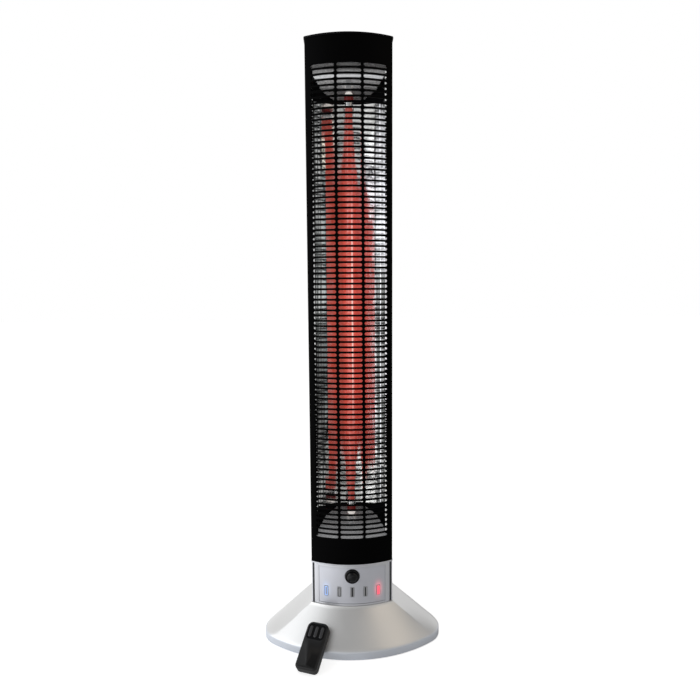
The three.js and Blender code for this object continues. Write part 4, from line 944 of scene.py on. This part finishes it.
def lamp_end(side, node):
    """A ceramic end with a grooved nickel collar and a red band. side is 1 above and -1 below."""
    lo, hi = lim(node)
    x, y, _ = middle("quartz_tube")
    tip = hi[2] if side > 0 else lo[2]
    big, bore, sides = (hi[0] - lo[0]) / 2, 6.8, 48
    inside_end, collar_end, band_end = 3, 12, 14  # the rings on which these stretches end
    # radius and distance from the tip
    turned = [(0, 6.2), (bore, 6.2), (bore, 27), (big - 0.5, 27), (big - 0.1, 26.5), (big - 0.1, 23),
              (big - 0.9, 22.6), (big - 0.9, 21.4), (big - 0.1, 21), (big - 0.1, 18.5), (big - 0.9, 18),
              (big - 0.9, 17.4), (big, 17), (big, 7.9), (big - 0.5, 7.6)]
    for a in np.radians(range(0, 90, 10)):
        turned.append(((big - 0.5) * cos(a) ** 0.45, 7.2 * (1 - sin(a))))
    turned.append((0, 0))
    v, f = lathe([(r, tip - side * d) for r, d in turned], (x, y), "Z", sides)
    faces = []
    for k, q in enumerate(f):
        ring = k // sides
        faces.append((q, 1 if inside_end <= ring < collar_end else 2 if collar_end <= ring < band_end else 0))
    make("lamp_end_" + node.split("_")[0], v, faces, ["painted_lit_ceramic", "collar", "red_band"], node,
         "ceramic", angle=40)


lamp_tube()
lamp_coil()
lamp_end(1, "upper_lamp_cap")
lamp_end(-1, "lower_lamp_cap")


# ------ base

def skirt():
    """The lens-shaped skirt: from the column's seat down a slope, over a shoulder and down an upright lip."""
    lo, hi = lim("base_skirt")
    slack = 0.03
    half, corner_r, corner_y = hi[0] - slack, 48.0, CORNER + 19.0
    front_reach, rear_reach = corner_y - lo[1] - slack, hi[1] - corner_y - slack
    lip, shoulder, wall, round_r, slope_share = 15.5, 5.0, 3.0, 0.8, 0.92
    front_n, rear_n, side_n = 90, 60, 27
    cx = half - corner_r

    def closed(front, side, rear):
        return np.array(front + side + rear + [(-x, y) for x, y in side[::-1]])

    def bow(reach, way, inset):
        """Radius, centre and half angle of the base's front or rear bow."""
        radius = (cx * cx + reach * reach - corner_r ** 2) / (2 * (reach - corner_r))
        return radius - inset, corner_y - way * (reach - radius), asin(cx / (radius - corner_r))

    def base(inset):
        small = corner_r - inset
        fr, fc, ft = bow(front_reach, 1, inset)
        rr, rc, rt = bow(rear_reach, -1, inset)
        return closed(
            [(fr * sin(a), fc - fr * cos(a)) for a in np.linspace(-ft, ft, front_n + 1)],
            [(cx + small * sin(a), corner_y - small * cos(a))
             for a in np.linspace(ft, pi - rt, side_n + 1)[1:-1]],
            [(rr * sin(a), rc + rr * cos(a)) for a in np.linspace(rt, -rt, rear_n + 1)])

    def seat(inset):
        h = HALF - inset
        return closed(
            [(x, front_y(x, inset)) for x in np.linspace(-h, h, front_n + 1)],
            [(h, y) for y in np.linspace(front_y(h, inset), rear_y(h, inset), side_n + 1)[1:-1]],
            [(x, rear_y(x, inset)) for x in np.linspace(h, -h, rear_n + 1)])

    def mix(a, b, t):
        return a + (b - a) * t

    rim, top = base(0.0), seat(-1.2)
    rim_in, top_in = base(wall), seat(wall - 1.2)
    bottom, z_top = lo[2], hi[2]
    slope_z, slope_top = lip + shoulder, z_top - round_r
    inner_z, inner_top = lip - wall / 2 + shoulder, z_top - wall
    rings = [at_z(seat(5.0), z_top), at_z(seat(-0.7), z_top), at_z(seat(-1.05), z_top - 0.25),
             at_z(top, slope_top)]
    for t in np.linspace(0, 1, 13)[1:]:
        rings.append(at_z(mix(top, rim, slope_share * t), mix(slope_top, slope_z, t)))
    # the shoulder rolls over into the upright lip
    for t in np.linspace(0, 1, 8)[1:]:
        early, half_way, late = (1 - t) ** 2, 2 * t * (1 - t), t * t
        z = early * slope_z + half_way * (lip + 0.6) + late * (lip - 1.2)
        rings.append(at_z(mix(top, rim, early * slope_share + half_way * 0.996 + late), z))
    rings += [at_z(rim, bottom + 0.9), at_z(base(0.25), bottom + 0.25), at_z(base(0.8), bottom),
              at_z(rim_in, bottom), at_z(rim_in, inner_z - shoulder - 1.2),
              at_z(mix(top_in, rim_in, slope_share), inner_z),
              at_z(mix(top_in, rim_in, 0.5), mix(inner_z, inner_top, 0.46)),
              at_z(top_in, inner_top), at_z(seat(5.0), inner_top)]
    make("skirt", *loft(rings, along=True), "skirt", "base_skirt", "silver_plastic", angle=28)


skirt()


# ------ handset

HANDSET_AT = np.array([-80.0, -100.715 + CORNER, -0.81])
LEAN, TURN = radians(33.5), radians(20)
WIDE, LONG, THICK = 40.0, 82.0, 18.0
SHELL_WALL = 1.8
KEYS_AT = LONG - 18  # the middle of the three keys


def handset_place(p):
    """From the handset's own frame, lying flat with its face up, to the object's."""
    x, y, z = p
    y, z = y * cos(LEAN) - z * sin(LEAN), y * sin(LEAN) + z * cos(LEAN)
    c, s = cos(-TURN), sin(-TURN)
    return HANDSET_AT[0] + c * x - s * y, HANDSET_AT[1] + s * x + c * y, HANDSET_AT[2] + z


def shell_half(name, node, up, holes):
    """One half of the handset. up is 1 for the front, whose face is at the top."""
    split, face_z, edge = (9.5, THICK, 4.2) if up > 0 else (9.2, 0.0, 3.0)

    def ring(inset, z):
        half, low, high = WIDE / 2 - inset, 7.5 - min(inset, 5), 10.5 - min(inset, 7)
        y0, y1 = inset + low, LONG - inset - high
        pts = arc(half - low, y0, low, -90, 0, 8) + arc(half - high, y1, high, 0, 90, 8)
        pts += arc(high - half, y1, high, 90, 180, 8) + arc(low - half, y0, low, 180, 270, 8)
        return at_z(pts, z)

    rings = [ring(SHELL_WALL, split), ring(0.35, split), ring(0.0, split + up * 0.4)]
    for a in np.linspace(0, pi / 2, 9):
        rings.append(ring(edge * 0.85 * (1 - cos(a)), face_z - up * edge * (1 - sin(a))))
    face = [(x, y) for x, y, _ in rings[-1]]

    def face_panel(outline, openings, depth, pick):
        edge_rings = [(depth, 0.0), (depth + 0.2, -0.001), (SHELL_WALL, 0.0)]
        return *panel(outline, openings, edge_rings, lambda x, y, d: (x, y, face_z - up * d)), pick

    if up > 0:
        # the keys sit in a shallow glossy field
        field = rounded(16.2, LONG - 31.5, LONG - 4.6, 6.5, 8)
        panels = [face_panel(face, [field], 0.0, 0), face_panel(field, holes, 0.5, 1)]
    else:
        panels = [face_panel(face, holes, 0.0, 0)]
    lining = [ring(SHELL_WALL, split), ring(SHELL_WALL, face_z - up * (SHELL_WALL + 1.0)),
              at_z(face, face_z - up * SHELL_WALL)]
    v, f = welded(*join((*loft(rings), 0), *panels, (*loft(lining), 0)))
    make(name, v, f, ["matt", "field"], node, "matt_black", angle=35, body="handset")


def welded(verts, faces):
    """A shell's points and faces in their place on the object, with shared edges joined."""
    bm = bmesh.new()
    pts = [bm.verts.new(handset_place(p)) for p in verts]
    for q, pick in faces:
        try:
            bm.faces.new([pts[i] for i in q]).material_index = pick
        except ValueError:  # the same face is there already
            pass
    bmesh.ops.remove_doubles(bm, verts=bm.verts, dist=2e-3)
    # faces between skin and panel that no longer bound anything
    stray = [face for face in bm.faces if all(len(e.link_faces) > 2 for e in face.edges)]
    bmesh.ops.delete(bm, geom=stray, context="FACES_ONLY")
    bm.verts.index_update()
    points = [tuple(v.co) for v in bm.verts]
    kept = [([v.index for v in face.verts], face.material_index) for face in bm.faces]
    bm.free()
    return points, kept


def handset_key(x, node):
    """A long rounded key with a soft top and a flange under the field."""
    gap, flange = 0.3, 0.9
    top = THICK - SHELL_WALL - gap
    rings = []
    for inset, z in ((-1.0, top - flange), (-1.0, top), (0, top), (0, THICK + 0.1), (0.25, THICK + 0.4),
                     (0.7, THICK + 0.55), (1.5, THICK + 0.6)):
        half_h = 9.5 - inset
        loop = rounded(2.7 - inset, KEYS_AT - half_h, KEYS_AT + half_h, max(0.4, 2.43 - inset), 8, x)
        rings.append([handset_place((*p, z)) for p in loop])
    make(node + "_cap", *loft(rings, lids=True), "keygloss", node, "gloss_black", angle=40,
         body=node + "_body")


def handset_door():
    """The battery door with a thumb grip of fine ribs."""
    ring, mid = rounded(12.5, 4, 52, 1.3), 28
    rings = [[handset_place((x * wide, mid + (y - mid) * high, z)) for x, y in ring]
             for z, wide, high in ((SHELL_WALL, 1, 1), (0.45, 1, 1), (0.2, 0.98, 0.99))]
    parts = [loft(rings, lids=True)]
    rib = ((-0.4, 0.25), (-0.15, 0.02), (0.15, 0.02), (0.4, 0.25))
    for y in 8 + 1.6 * np.arange(6):
        parts.append(loft([[handset_place((x, y + dy, z)) for dy, z in rib] for x in (-7, 7)], lids=True))
    make("handset_door", *join(*parts), "matt", "handset_battery_door", "matt_black", angle=35,
         body="handset")


def handset():
    """The two shells, the three keys and the battery door."""
    spots = {"left": -10.5, "middle": 0.0, "right": 10.5}
    holes = [rounded(3.0, KEYS_AT - 9.8, KEYS_AT + 9.8, 2.7, 8, x) for x in spots.values()]
    shell_half("handset_shell_front", "handset_front", 1, holes)
    shell_half("handset_shell_back", "handset_back", -1, [rounded(12.8, 3.7, 52.3, 1.5)])
    for side, x in spots.items():
        handset_key(x, "handset_key_" + side)
    handset_door()


handset()


# ------ carried-over nodes

CARRIED = {
    "zinc": "top_bulkhead bottom_bulkhead upper_reflector_bracket lower_reflector_bracket upper_lamp_seat "
            "lower_lamp_seat support_frame frame_bolt_left frame_bolt_right base_plate base_screw_front_left "
            "base_screw_front_right base_screw_rear_left base_screw_rear_right",
    "rubber": "cord_inlet foot_front_left foot_front_right foot_rear_left foot_rear_right",
    "matt": "thermal_cutout infrared_receiver relay tip_switch tip_plunger",
    "board": "control_board power_board handset_board",
    "silicone": "upper_lamp_lead lower_lamp_lead",
    "steel": "handset_battery_left handset_battery_right",
    "ceramic": "terminal_block",
    "plate_up": "upper_end_plate",
    "plate_low": "lower_end_plate",
    "blue_led": "blue_led",
    "red_led": "red_led",
}


def dress_carried():
    """Gives one material to every node that is kept as it is."""
    for look, names in CARRIED.items():
        for name in names.split():
            node = nodes[name]
            for slot in node.material_slots:
                slot.material = LOOKS[look]
            if not node.material_slots:
                node.data.materials.append(LOOKS[look])


dress_carried()


# ------ floor and light

DARK_WAY = (0.32, -0.22, 0.92)  # up and to the right, where the studio is darker
CLEAR_RAYS = "Is Camera Ray", "Is Transmission Ray"


def stage_floor():
    """A white floor that mirrors brightly on the left only."""
    m = Nodes("floor_white").set(Roughness=0.9, Specular_IOR_Level=0.1, Emission_Color=WHITE)
    path = m.add("LightPath").outputs
    glossy = m.times(path["Is Glossy Ray"], m.ramp(m.axis("X"), -330, 50, 0.95, 0.0))
    seen = m.times(m.math("MAXIMUM", *(path[name] for name in CLEAR_RAYS)), 0.7)
    m.set(Emission_Strength=m.math("MAXIMUM", seen, glossy),
          Base_Color=m.mix(m.noise(0.02, 2.0), (0.795, 0.795, 0.795), (0.805, 0.805, 0.805)))
    mesh = bpy.data.meshes.new("floor")
    reach = 12.0  # in metres
    corners = [(x * reach, y * reach, 0) for x, y in ((-1, -1), (1, -1), (1, 1), (-1, 1))]
    mesh.from_pydata(corners, [], [(0, 1, 2, 3)])
    mesh.materials.append(m.owner)
    new_object("floor", mesh)


def world():
    """White for the camera, a plain even light for the object, and for reflections a white studio that is
    left dark overhead."""
    w = Nodes("studio", bpy.data.worlds, "Background")
    scene.world = w.owner
    path = w.add("LightPath").outputs
    way = w.add("VectorMath", operation="DOT_PRODUCT")
    w.give(way.inputs[0], w.add("TexCoord").outputs["Generated"])
    way.inputs[1].default_value = DARK_WAY
    side = w.ramp(way.outputs["Value"], 0.0, 0.9, 1.0, 0.26, interpolation_type="SMOOTHSTEP")
    seen = w.math("MAXIMUM", *(path[name] for name in CLEAR_RAYS))
    glossy = w.times(path["Is Glossy Ray"], side)
    plain = w.math("SUBTRACT", 1.0, w.math("MAXIMUM", seen, path["Is Glossy Ray"]))
    w.set(Strength=w.math("MULTIPLY_ADD", plain, 0.42, w.math("ADD", seen, glossy)), Color=WHITE)


def lamp_area(name, at, to, size, power, color):
    """A soft lamp of the studio that shines from one place to another."""
    data = bpy.data.lights.new(name, "AREA")
    data.shape = "RECTANGLE"
    data.size, data.size_y = size
    data.energy = power
    data.color = color
    obj = new_object(name, data)
    obj.location = at
    obj.rotation_euler = (Vector(to) - Vector(at)).to_track_quat("-Z", "Y").to_euler()


stage_floor()
world()
lamp_area("key_light", (-2.4, -1.1, 1.5), (0, 0, 0.4), (2.8, 2.4), 24, (0.95, 0.975, 1.0))
lamp_area("fill_light", (1.52, -1.15, 1.9), (0, 0, 0.3), (1.4, 1.4), 4.6, (1.0, 0.85, 0.66))
